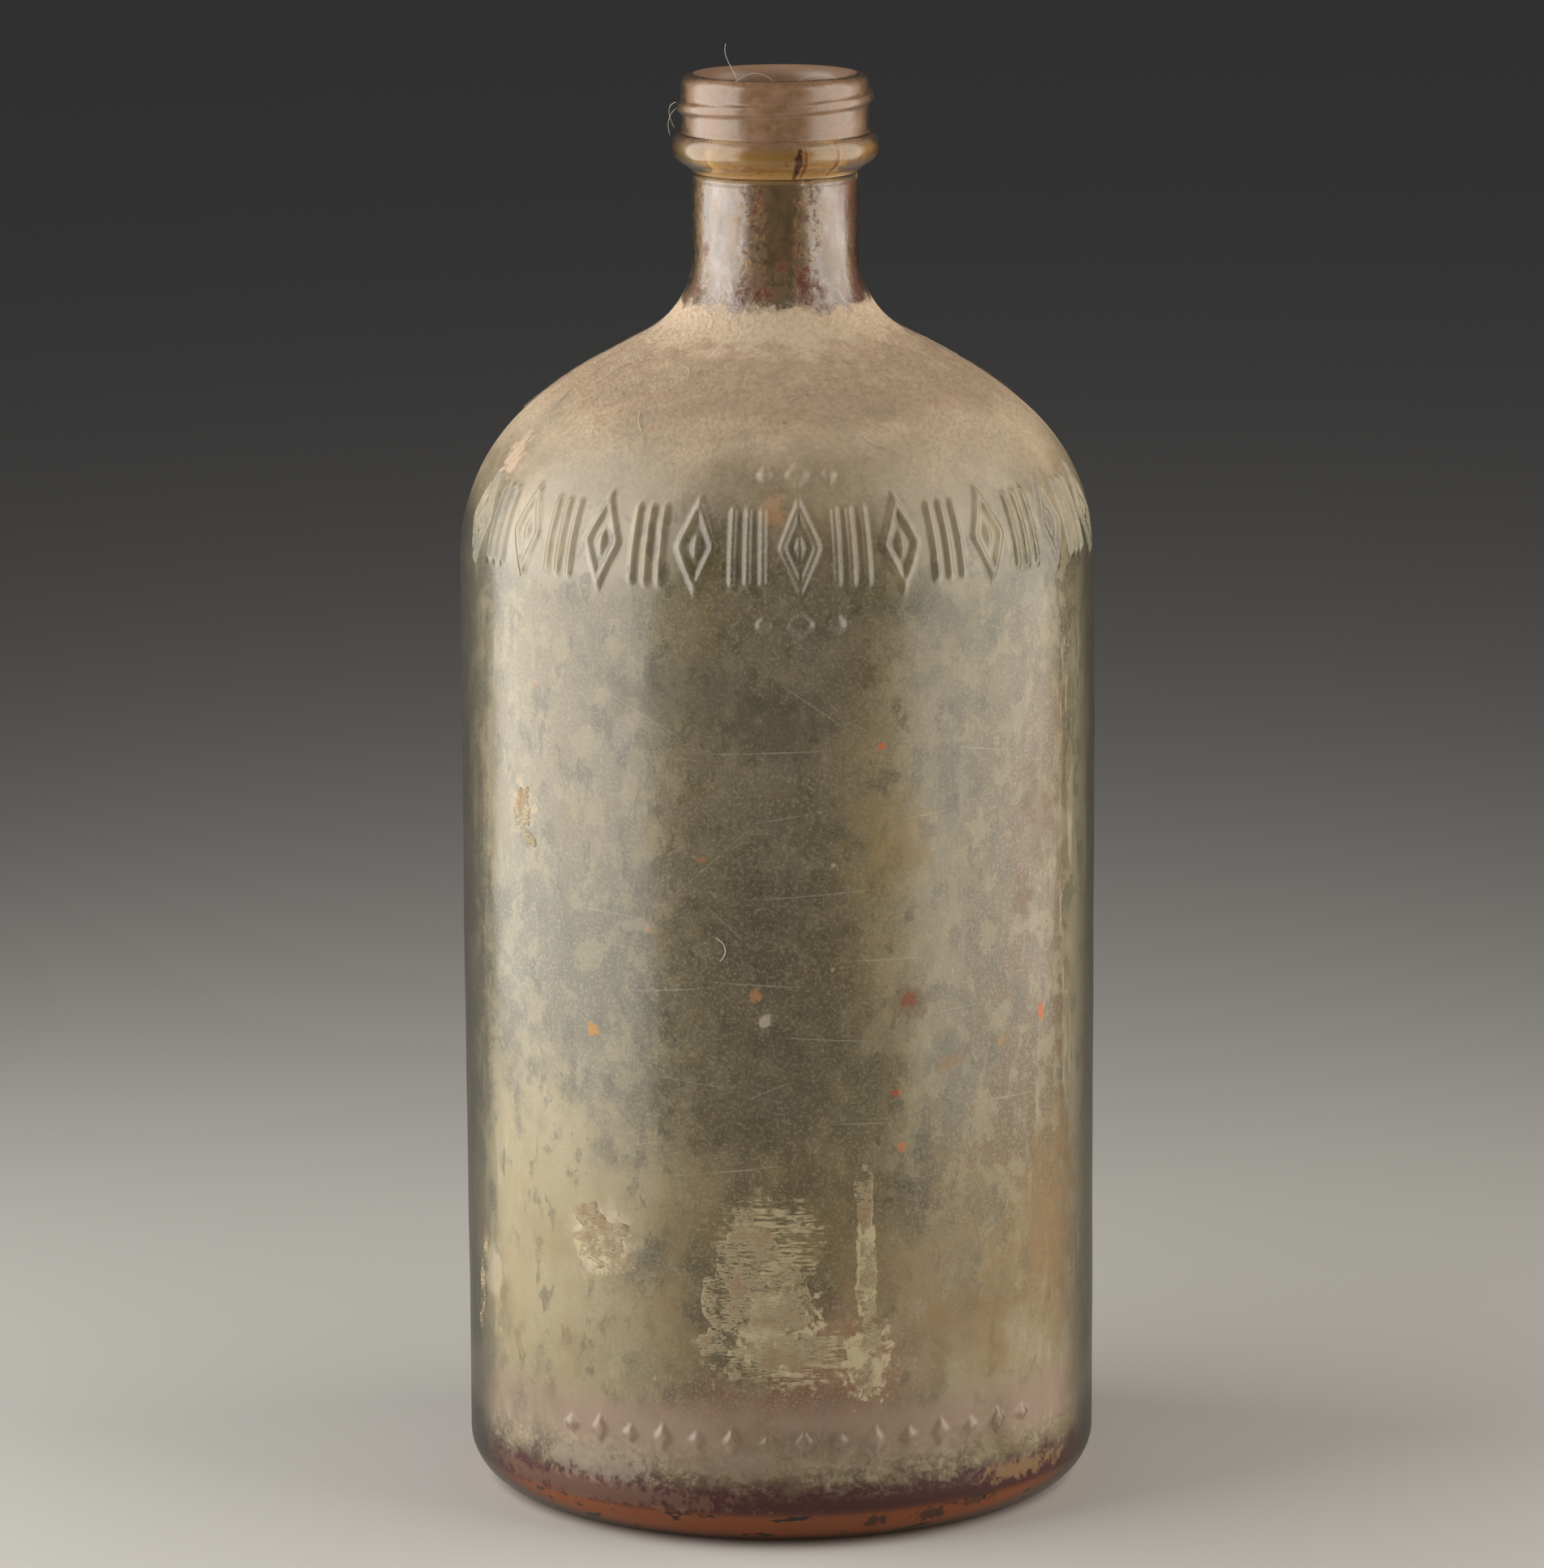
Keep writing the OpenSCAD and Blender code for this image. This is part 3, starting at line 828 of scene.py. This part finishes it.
def lay_neck(g, coats):
    """Rust and gold mottling on the neck, darkest low down and at the right-hand edge, with pale lilac
    haze that is partly a painted highlight on both sides.
    """
    root = g.math("MULTIPLY_ADD", g.noise(2.2, 6.0, seed=38, rough=0.7), 8.0, g.z)
    neck = g.times(g.step(root, 173.8, 175.4), g.step(g.z, 189, 187))
    coats.lay(neck, (192, 166, 132), 0.10, 0.10, 1.0)
    turned_away = g.away(-1)
    # Pale lilac haze, partly real and partly painted highlight: it lies where the softboxes reflect on
    # both sides of the neck.
    lilac_and_highlight = g.times(g.step(turned_away, 16, 28), g.step(turned_away, 58, 48),
                    g.blots(0.30, 0.60, 3.0, 5.0, tall=2.0, seed=39))
    coats.lay((neck, lilac_and_highlight), (226, 208, 202), 0.36)
    gold = g.blots(0.42, 0.58, 2.0, 7.0, tall=1.5, seed=15, rough=0.74)
    coats.lay((neck, gold, g.mix(g.step(turned_away, 8, 18), 0.2, 0.65)),
              (198, 162, 118), 0.42, 0.25, 0.72)
    beside = g.either(g.times(g.step(turned_away, 7, 13), g.step(turned_away, 36, 26)),
                      g.step(turned_away, 50, 60))
    cluster = g.blots(0.36, 0.56, 5.0, 4.0, tall=1.6, seed=37)
    fleck = g.blots(0.49, 0.57, 1.2, 6.0, tall=1.2, seed=16, rough=0.74)
    coats.lay((neck, fleck, beside, g.mix(cluster, 0.4, 0.95)), (92, 40, 18), 0.9, 0.45, 0.1)
    bright = g.blots(0.55, 0.63, 0.7, 5.0, seed=34, rough=0.75)
    coats.lay((neck, bright, beside, 0.8), (206, 158, 88), 0.6, 0.3, 0.4)
    low = g.times(g.band(g.z, 170.8, 175.0, 1.6), g.blots(0.42, 0.56, 1.8, 6.0, seed=17, rough=0.78))
    coats.lay((low, g.mix(beside, 0.3, 0.9)), (96, 50, 28), 0.8, 0.6, 0.1)
    brown = g.times(neck, g.band(g.angle, 40, 100, 12), g.blots(0.38, 0.6, 4, 4.0, tall=2.5, seed=18))
    coats.lay((brown, 0.75), (116, 56, 38), 0.6, gloss=0.2)
    for angle, z, w, h in [(0.5, 176, 0.7, 0.7), (13, 174.5, 0.8, 1.2), (-10, 172.5, 1.0, 0.8),
                           (16, 173, 1.1, 1.6), (-60, 178, 0.6, 0.9), (140, 176, 0.9, 1.4)]:
        spot = g.patch(angle, z, w * 3.8, h, ragged=3.8, grain=0.8, soft=0.45)
        coats.lay((spot, 0.85), (98, 38, 18), 0.9, 0.4, 0.1)


def lay_finish(g, coats):
    """Golden haze on the screw finish, and syrup run down over the bead."""
    finish = g.step(g.z, 187.6, 189.2)
    coats.lay(finish, (196, 160, 124), 0.24, 0.26, 0.75)
    pink = g.blots(0.40, 0.64, 3, 6.0, tall=0.8, seed=19, rough=0.65)
    coats.lay((finish, pink), (190, 152, 124), 0.46, 0.4, 0.5)
    dirt = g.blots(0.50, 0.64, 1.6, 6.0, tall=0.7, seed=35, rough=0.7)
    coats.lay((finish, dirt, 0.4), (158, 110, 72), 0.5, 0.4, 0.35)
    bead = g.band(g.z, 188.8, 192.6, 0.8)
    coats.lay((bead, 0.8), AMBER, 0.30, 0.12)
    coats.lay((g.band(g.z, 187.8, 189.4, 0.4), 0.85), (206, 158, 92), 0.66, 0.3, 0.3)
    drip = g.blots(0.53, 0.62, 0.9, 4.0, tall=7.0, seed=20)
    coats.lay((g.band(g.z, 189.0, 191.4, 0.6), drip, 0.75), RUST, 0.6, 0.3)
    for angle, w, colour in [(9, 1.9, DEEP_BROWN), (13, 1.0, RUST), (33, 1.0, RUST), (160, 2.4, RUST)]:
        coats.lay(g.patch(angle, 190.8, w, 2.4, ragged=1.0, grain=0.8), colour, 0.8, 0.25)
    coats.lay((g.band(g.angle, -95, -60, 8), bead, 0.6), (140, 138, 84), 0.25)
    coats.lay((g.band(g.z, 201.0, 202.5, 0.4), g.blots(0.4, 0.6, 2, seed=21)),
              (150, 118, 84), 0.6, 0.4)


def outer_glass():
    """The outside, with all that lies on it from the haze up to the dust and the finish, and with
    painted shade at its sides and painted highlights on the shoulder and neck.
    """
    g = Graph("aged_glass_outer")
    streak = g.noise(4.5, 5.0, tall=6.0, seed=3)
    cloud = g.noise(11, 5.0, seed=2)
    coats = Coats(g, CLEAR_GLASS, 0.05, 0.08, 0.56)
    lay_body_haze(g, coats, streak, cloud)
    lay_low_stains(g, coats, cloud)
    lay_label_remains(g, coats)
    for angle, z, w, h, colour, cover in STAINS:
        coarse = min(w, h) > 2.5
        mask = g.patch(angle, z, w, h, grain=4.0 if coarse else 1.4, soft=0.6 if coarse else 0.3)
        coats.lay((mask, cover), colour, cover, 0.5, 0.15)
    dust = lay_shoulder_dust(g, coats, cloud)
    lay_neck(g, coats)
    lay_finish(g, coats)
    scratched = g.either(*[g.patch(a, z, w, 0.09, ragged=1.6, grain=4.0, soft=0.5, tilt=t)
                           for a, z, w, t in SCRATCHES])
    coats.lay((scratched, 0.5), (206, 200, 180), 0.6, 0.5)
    specks = g.times(g.specks(7.0, 0.5, 0.10, seed=1), g.step(g.z, 170, 160))
    coats.lay((specks, 0.8), (170, 92, 50), 0.85)
    pale = g.times(g.specks(5.0, 0.45, 0.10, seed=2), g.step(g.z, 170, 160))
    coats.lay((pale, 0.7), CHALK, 0.8)
    clear = g.times(g.math("SUBTRACT", 1.0, dust), g.math("SUBTRACT", 1.0, g.band(g.z, 143, 167, 5)))
    coats.darken_edges((76, 66, 40), g.times(clear, 0.9))
    coats.lay(g.step(g.z, 14, 6), gloss=0.0)
    coats.finish()
    seam = g.times(g.step(g.math("ABSOLUTE", g.y), 0.42, 0.08), g.step(g.z, 187, 186))
    parting = g.band(g.z, 187.1, 187.3, 0.12)
    heights = [
        (g.either(seam, parting), 0.12),
        (g.noise(7.0, 2.0, tall=2.5, seed=22), 0.16),
        (g.noise(0.5, 3.0, seed=23), 0.006),
        (g.noise(2.6, 5.0, tall=1.3, seed=25, rough=0.74), 0.05),
        (g.times(g.noise(1.5, 2.5, seed=36), g.band(g.z, 170, 187, 1.5)), 0.08),
        (g.times(g.noise(0.7, 4.0, seed=24), dust), 0.35),
    ]
    relief = None
    for height, depth in heights:
        relief = g.bump(height, depth, relief)
    g.surface("Normal", relief)
    g.surface("IOR", 1.5)
    g.surface("Coat Roughness", 0.22)
    return g.material


def inner_glass():
    """The inside: clear low down, stained in the neck and the mouth."""
    g = Graph("aged_glass_inner")
    coats = Coats(g, CLEAR_GLASS, 0.03, 0.08)
    stained = g.times(g.step(g.z, 166, 172), g.blots(0.40, 0.62, 4, 5.0, tall=1.8, seed=30))
    coats.lay((stained, 0.8), (206, 168, 116), 0.30, 0.22)
    rust = g.times(g.step(g.z, 166, 172), g.blots(0.52, 0.70, 3.0, 5.0, tall=2.5, seed=31))
    coats.lay((rust, 0.6), RUST, 0.5, 0.3)
    coats.lay((g.step(g.z, 190, 199), 0.8), (182, 142, 118), 0.50, 0.45)
    coats.finish()
    g.surface("Normal", g.bump(g.noise(6.0, 2.0, tall=2.0, seed=32), 0.2))
    g.surface("IOR", 1.5)
    return g.material


def film_material():
    """Chalky film on the inside, in runs and clouds that let the dark interior show between."""
    g = Graph("mineral_haze_film")
    run = g.noise(6.0, 5.0, tall=5.0, seed=40)
    cloud = g.noise(16, 5.0, tall=1.4, seed=41)
    mass = g.step(g.mix(0.5, run, cloud), 0.36, 0.64)
    tan = g.blots(0.42, 0.6, 18, 4.0, seed=42)
    g.surface("Base Color", g.tint(tan, (158, 158, 140), (176, 158, 122)))
    ends = g.times(g.step(g.z, 14, 19), g.step(g.z, 149.5, 138))
    alpha = g.times(g.mix(mass, 0.04, 0.36), ends)
    g.surface("Alpha", alpha)
    g.surface("Roughness", g.mix(mass, 0.6, 0.9))
    g.surface("Normal", g.bump(g.noise(1.2, 4.0, seed=43), 0.1))
    return g.material


def residue_material():
    """Dried syrup: glossy dark maroon at its edge, caramel where it lies thin on the floor."""
    g = Graph("syrup_residue_crusted")
    thick = g.blots(0.38, 0.62, 6, 5.0, tall=0.6, seed=50)
    colour = g.tint(thick, (134, 56, 30), (74, 26, 20))
    colour = g.tint(g.step(g.z, 8.0, 6.4), colour, (170, 84, 36))
    colour = g.tint(g.blots(0.60, 0.68, 3, 5.0, seed=51), colour, TAR)
    pale = g.times(g.step(g.z, 9, 12), g.blots(0.56, 0.66, 2.5, 5.0, seed=52))
    colour = g.tint(pale, colour, (186, 160, 128))
    g.surface("Base Color", colour)
    g.surface("Roughness", g.mix(thick, 0.25, 0.55))
    g.surface("Normal", g.bump(g.noise(1.6, 5.0, seed=53), 0.5))
    return g.material


def dust_material():
    """Matt tan dust in fine grains. It thins away at the top and the bottom of the layer."""
    g = Graph("tan_dust_grains")
    grain = g.noise(0.8, 3.0, seed=13)
    clump = g.noise(4.0, 5.0, tall=0.7, seed=60)
    colour = g.tint(g.step(grain, 0.35, 0.70), DUST, DUST_DARK)
    colour = g.tint(g.times(g.blots(0.5, 0.75, 2.2, 5.0, seed=61), 0.25), colour, (166, 138, 110))
    colour = g.tint(g.times(g.specks(3.2, 0.32, 0.10, seed=3), 0.7), colour, (118, 86, 64))
    g.surface("Base Color", colour)
    g.surface("Roughness", 0.95)
    g.surface("Specular IOR Level", 0.15)
    wavy = g.math("MULTIPLY_ADD", clump, 7.0, g.z)
    top = g.math("SUBTRACT", g.z, g.times(clump, 8))
    ends = g.times(g.step(wavy, 157.5, 170), g.step(top, 163, 156))
    g.surface("Alpha", g.times(ends, g.mix(g.step(clump, 0.36, 0.60), 0.75, 0.97)))
    g.surface("Normal", g.bump(g.noise(0.55, 4.0, seed=62), 0.4))
    return g.material


def crust_material():
    """Flaky remains of a label and its glue, with the horizontal lines of the torn paper."""
    g = Graph("pale_crust_flakes")
    lines = g.noise(0.9, 4.0, tall=0.22, seed=70)
    blot = g.noise(3.0, 5.0, seed=71)
    colour = g.tint(g.step(lines, 0.4, 0.62), (214, 198, 166), (190, 172, 136))
    colour = g.tint(g.times(g.step(blot, 0.5, 0.65), 0.6), colour, (176, 144, 106))
    g.surface("Base Color", colour)
    g.surface("Alpha", g.times(g.step(g.mix(0.5, lines, blot), 0.44, 0.53), 0.6))
    g.surface("Roughness", 0.8)
    g.surface("Normal", g.bump(lines, 0.25))
    return g.material


def lint_material():
    """Pale fibres that vary a little along their length."""
    g = Graph("lint_fibre")
    g.surface("Base Color", g.tint(g.noise(1.5, 3.0, seed=80), (226, 218, 200), (176, 160, 136)))
    g.surface("Roughness", 0.7)
    return g.material


# ---- Pieces of dirt
def add_shell(verts, faces, rows):
    """Adds a closed solid made of rows of points that stand side by side, the last one next to
    the first. Rows that share their first points and their last points are closed there."""
    poles = math.dist(rows[0][0], rows[1][0]) < 1e-8
    between = [row[1:-1] if poles else row for row in rows]
    first, m = len(verts), len(between[0])
    low = first + m * len(rows)
    for j, row in enumerate(between):
        verts += row
        a, b = first + j * m, first + (j + 1) % len(rows) * m
        faces += [(a + i, b + i, b + (i + 1) % m, a + (i + 1) % m)
                  for i in range(m - 1 if poles else m)]
        if poles:
            faces += [(low, b, a), (low + 1, a + m - 1, b + m - 1)]
    if poles:
        verts += [rows[0][0], rows[0][-1]]


def turned(name, count, profile):
    """A closed solid round the axis whose outline, profile(angle), may change on the way round."""
    rows = []
    for j in range(count):
        angle = 360.0 * j / count - FRONT_HALF_ANGLE
        rows.append([in_metres(r, angle, z) for r, z in profile(angle)])
    verts, faces = [], []
    add_shell(verts, faces, rows)
    return mesh_object(name, verts, faces)


def in_metres(r, angle, z):
    """A point from its radius, angle round the bottle and height in mm."""
    a = math.radians(angle)
    return (r * math.sin(a) * MM, -r * math.cos(a) * MM, z * MM)


def ripple(angle, s, waves, phase=0.0):
    """Smooth uneven value of about -1 to 1 round the bottle and along s."""
    a = math.radians(angle)
    return sum(math.sin(n * a + k * s + phase + 1.7 * n) for n, k in waves) / len(waves)


def residue_profile(angle):
    """Across the floor and up the inner heel, then back along the top of the residue."""
    edge_a = -14 + 13 * ripple(angle, 0, [(3, 0), (7, 0), (13, 0), (29, 0)])
    steps = 14
    heel = [polar(INNER_HEEL_C, INNER_HEEL_R, -90 + (edge_a + 90) * i / steps)
            for i in range(1, steps + 1)]
    glass = inner_floor(2.2) + heel
    under = offset(glass, angle, 0.06)
    over = []
    for i, (r, z) in enumerate(offset(glass, angle, 0.0)):
        t = i / (len(glass) - 1)
        calm = min(1.0, r / 12)
        lump = 0.6 + 0.22 * calm * ripple(angle, 0.3 * r + 9 * t, [(4, 1), (9, -1), (17, 2)])
        depth = lump * min(1.0, 8 * (1 - t) + 0.1)
        inward = math.pi / 2
        if r > INNER_HEEL_C[0]:
            inward = math.atan2(INNER_HEEL_C[1] - z, INNER_HEEL_C[0] - r)
        over.append((r + depth * math.cos(inward), z + depth * math.sin(inward)))
    return under + over[::-1]


def film_profile(angle):
    """The film bites a little into the inner wall, whose unevenness it follows."""
    wall = joined(line((INNER_R, 14.2), (INNER_R, SHOULDER_Z), 3.2),
                  arc(SHOULDER_C, SHOULDER_R - WALL, 0, 41.5, 1.6))
    return offset(wall, angle, 0.05) + offset(wall, angle, -0.18)[::-1]


def offset(outline, angle, d):
    """The inner surface's outline moved out by d mm from where the glass really is."""
    normals = outline_normals(outline)
    moved = []
    for (r, z), (nr, nz) in zip(outline, normals):
        out = d - float(inner_lift(angle, r, z))
        moved.append((max(r + out * nr, 0.0), z + out * nz))
    return moved


DUST_LINE = [p for p in shoulder_outline(0, 0.8) if 153.4 < p[1] < 168.6]
DUST_NORMALS = outline_normals(DUST_LINE)


def dust_profile(angle):
    """The dust lies on the glass, whose waviness it follows, and is lumpy on top."""
    under, over = [], []
    for i, ((r, z), (nr, nz)) in enumerate(zip(DUST_LINE, DUST_NORMALS)):
        t = i / (len(DUST_LINE) - 1)
        glass = float(plain_wall(angle, r, z))
        lump = 0.11 + 0.05 * ripple(angle, 3.1 * z, [(37, 1), (61, -1.3), (83, 1.9)])
        top = glass + 0.03 + lump * min(1.0, 5 * t, 5 * (1 - t))
        under.append((r + (glass + 0.02) * nr, z + (glass + 0.02) * nz))
        over.append((r + top * nr, z + top * nz))
    return under + over[::-1]


FLAKE_SPOKES = 44
FLAKE_RINGS = 7
FLAKE_FOOT = 0.01
FLAKE_THICK = 0.17
# Flakes of crust: angle, height, half width and half height in mm
FLAKES = [
    (-10, 43, 4.6, 3.4), (-14, 36.5, 3.4, 4.6), (-7, 34.5, 5.2, 5.6), (-2.5, 38, 3.0, 2.8),
    (-9, 27.5, 3.2, 3.0), (-1, 29, 4.2, 2.6), (-16.5, 30, 2.2, 2.0), (-11.5, 48, 2.0, 1.4),
    (11, 50.5, 1.3, 5.0), (11.5, 40.5, 1.1, 4.4), (12, 31, 1.5, 4.8), (11.5, 24.5, 1.0, 2.4),
    (-38, 43, 4.2, 3.6), (-34, 40.3, 2.6, 2.0), (-41, 46.5, 2.0, 1.8),
    (-74.5, 31, 1.2, 3.4), (-72.5, 36.5, 0.9, 1.6), (-75.5, 25.5, 0.8, 1.5),
    (-56.5, 102.5, 2.0, 2.8), (-54.5, 98.4, 1.2, 1.1),
]


def on_wall(angle, z, lift):
    """A point lift mm outside the body's wall."""
    return in_metres(BODY_R + lift + float(waviness(angle, z)), angle, z)


def flake_rows(rng, angle, z, half_w, half_h):
    """A ragged flake bent round the bottle, in spokes that run out under it and back over it."""
    waves = rng.uniform(-1, 1, (9, 2))
    lumps = rng.uniform(0.7, 1.0, (FLAKE_RINGS + 1, FLAKE_SPOKES))
    rows = []
    for k in range(FLAKE_SPOKES):
        t = 2 * math.pi * k / FLAKE_SPOKES
        reach = 1 + 0.42 * sum((c * math.cos((n + 2) * t) + s * math.sin((n + 2) * t)) / (n + 2.5)
                               for n, (c, s) in enumerate(waves))
        under = [on_wall(angle, z, FLAKE_FOOT)]
        over = [on_wall(angle, z, FLAKE_THICK)]
        for ring in range(1, FLAKE_RINGS + 1):
            share = ring / FLAKE_RINGS
            at = angle + math.degrees(half_w * share * reach * math.cos(t) / BODY_R)
            up = z + half_h * share * reach * math.sin(t)
            thick = FLAKE_THICK * lumps[ring][k] * min(1.0, 3.5 * (1 - share) + 0.25)
            under.append(on_wall(at, up, FLAKE_FOOT))
            over.append(on_wall(at, up, thick))
        rows.append(under + over[::-1])
    return rows


def crust_flakes():
    """All the flakes as one piece."""
    rng = np.random.RandomState(7)
    verts, faces = [], []
    for flake in FLAKES:
        add_shell(verts, faces, flake_rows(rng, *flake))
    return mesh_object("crust_flakes", verts, faces)


def dome_radius(z):
    """Outer radius of the shoulder at a height, in mm."""
    points = shoulder_outline(0, 0.5)
    return float(np.interp(z, [p[1] for p in points], [p[0] for p in points]))


def lint_strands():
    """Fibres of lint at the mouth, beside the thread, on the dusty shoulder and on the wall."""
    curve = bpy.data.curves.new("lint_strands", "CURVE")
    curve.dimensions = "3D"
    curve.bevel_depth = 0.045 * MM
    curve.bevel_resolution = 1
    curve.resolution_u = 6
    mouth = [
        [(-32, 11.0, 201.9), (-36, 10.8, 203.2), (-42, 10.9, 204.6), (-44, 11.0, 206.0),
         (-42, 11.1, 207.0)],
        [(-30, 12.6, 201.9), (-22, 12.0, 203.4), (-12, 11.0, 203.2), (-3, 10.6, 201.6),
         (4, 11.2, 201.4)],
        [(12, 11.5, 202.0), (22, 11.9, 203.0), (33, 11.6, 202.9), (42, 11.9, 202.0)],
        [(-8, 11.8, 202.0), (-12, 10.4, 200.6), (-18, 9.4, 199.0), (-20, 9.3, 196.8)],
        [(-88, 14.0, 197.2), (-92, 15.0, 196.2), (-96, 15.3, 194.8), (-93, 14.8, 193.4)],
        [(-84, 14.1, 198.2), (-90, 15.4, 197.6), (-97, 15.0, 196.0), (-100, 14.3, 194.2)],
    ]
    for strand in mouth:
        add_strand(curve, [(r, a, z) for a, r, z in strand], 0.7)
    caught = [(-15.2, 87.6), (-13.9, 87.0), (-13.3, 86.0), (-13.5, 85.0), (-14.4, 84.3)]
    add_strand(curve, [(BODY_R + 0.08 + float(waviness(a, z)), a, z) for a, z in caught], 1.7)
    rng = np.random.RandomState(21)
    for _ in range(16):
        angle, z = rng.uniform(-180, 180), rng.uniform(153, 165)
        heading, bend = rng.uniform(0, 6.28), rng.uniform(-0.7, 0.7)
        points = []
        for _ in range(5):
            r = dome_radius(z)
            points.append((r + 0.22 + float(waviness(angle, z)), angle, z + 0.1))
            angle += math.degrees(1.1 * math.cos(heading) / r)
            z = min(166.0, max(150.5, z + 0.7 * math.sin(heading)))
            heading += bend
        add_strand(curve, points)
    return in_scene("lint_strands", curve)


def add_strand(curve, points, thickness=1.0):
    """One smooth fibre along points given as radius, angle and height."""
    spline = curve.splines.new("NURBS")
    spline.points.add(len(points) - 1)
    for point, (r, angle, z) in zip(spline.points, points):
        point.co = (*in_metres(r, angle, z), 1.0)
        point.radius = thickness
    spline.use_endpoint_u = True
    spline.order_u = 4


def place(obj, node, slot, *materials):
    """Gives a piece its materials and hides the CAD node that it stands for. The slot, its finish, is
    not used.
    """
    for material in materials:
        obj.data.materials.append(material)
    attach(obj, "root")
    if node:
        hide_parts(node)


# ---- Stage
def softbox(name, azimuth, distance, width, power, colour):
    """A soft upright light that faces the bottle from an angle round it, seen from the camera."""
    light = bpy.data.lights.new(name, "AREA")
    light.shape = "RECTANGLE"
    light.size = width
    light.size_y = SOFTBOX_TALL
    light.energy = power
    light.color = colour
    obj = in_scene(name, light)
    a = math.radians(azimuth + CAMERA_AZIMUTH)
    obj.location = (distance * math.sin(a), -distance * math.cos(a), SOFTBOX_Z)
    aim = Vector((0, 0, SOFTBOX_Z)) - obj.location
    obj.rotation_euler = aim.to_track_quat("-Z", "Y").to_euler()
    obj.visible_camera = False


def make_camera():
    data = bpy.data.cameras.new("camera")
    data.sensor_width = 36
    data.lens = CAMERA_LENS
    data.shift_x = CAMERA_SHIFT_X
    data.dof.use_dof = False
    data.clip_start = 0.01
    data.clip_end = 30
    obj = in_scene("camera", data)
    a = math.radians(CAMERA_AZIMUTH)
    stand = Matrix.Translation(
        (CAMERA_DISTANCE * math.sin(a), -CAMERA_DISTANCE * math.cos(a), CAMERA_HEIGHT))
    turn = (Matrix.Rotation(a, 4, "Z") @ Matrix.Rotation(math.radians(90 - CAMERA_PITCH), 4, "X")
            @ Matrix.Rotation(math.radians(CAMERA_ROLL), 4, "Z"))
    obj.matrix_world = stand @ turn
    bpy.context.scene.camera = obj


def floor_material():
    g = Graph("pale_floor")
    g.surface("Base Color", srgb(200, 198, 193))
    g.surface("Roughness", 0.6)
    return g.material


def make_stage():
    mesh = bpy.data.meshes.new("floor")
    n, radius = 96, 4.0
    ring = [(radius * math.cos(2 * math.pi * k / n), radius * math.sin(2 * math.pi * k / n), 0.0)
            for k in range(n)]
    mesh.from_pydata(ring, [], [tuple(range(n))])
    mesh.materials.append(floor_material())
    floor = in_scene("floor", mesh)

    softbox("left_softbox", -80, 0.27, 0.40, 2.3, (1, 0.985, 0.95))
    softbox("right_softbox", 78, 0.28, 0.37, 1.65, (1, 0.96, 0.88))

    world = bpy.data.worlds.new("studio")
    world.use_nodes = True
    world.node_tree.nodes["Background"].inputs["Color"].default_value = (0.045, 0.045, 0.048, 1)
    bpy.context.scene.world = world
    bpy.context.scene.view_settings.view_transform = "Standard"


make_camera()
make_stage()

place(lathe("glass_bottle_detailed", glass_zones()), "glass_bottle", "aged_glass",
      outer_glass(), inner_glass())
place(turned("mineral_film_detailed", COARSE_COUNT, film_profile), "mineral_film", "mineral_haze",
      film_material())
place(turned("dried_residue_detailed", COARSE_COUNT, residue_profile), "dried_residue",
      "syrup_residue", residue_material())
place(turned("shoulder_dust_detailed", 300, dust_profile), "shoulder_dust", "tan_dust",
      dust_material())
place(crust_flakes(), "crust_patches", "pale_crust", crust_material())
place(lint_strands(), None, "tan_dust", lint_material())
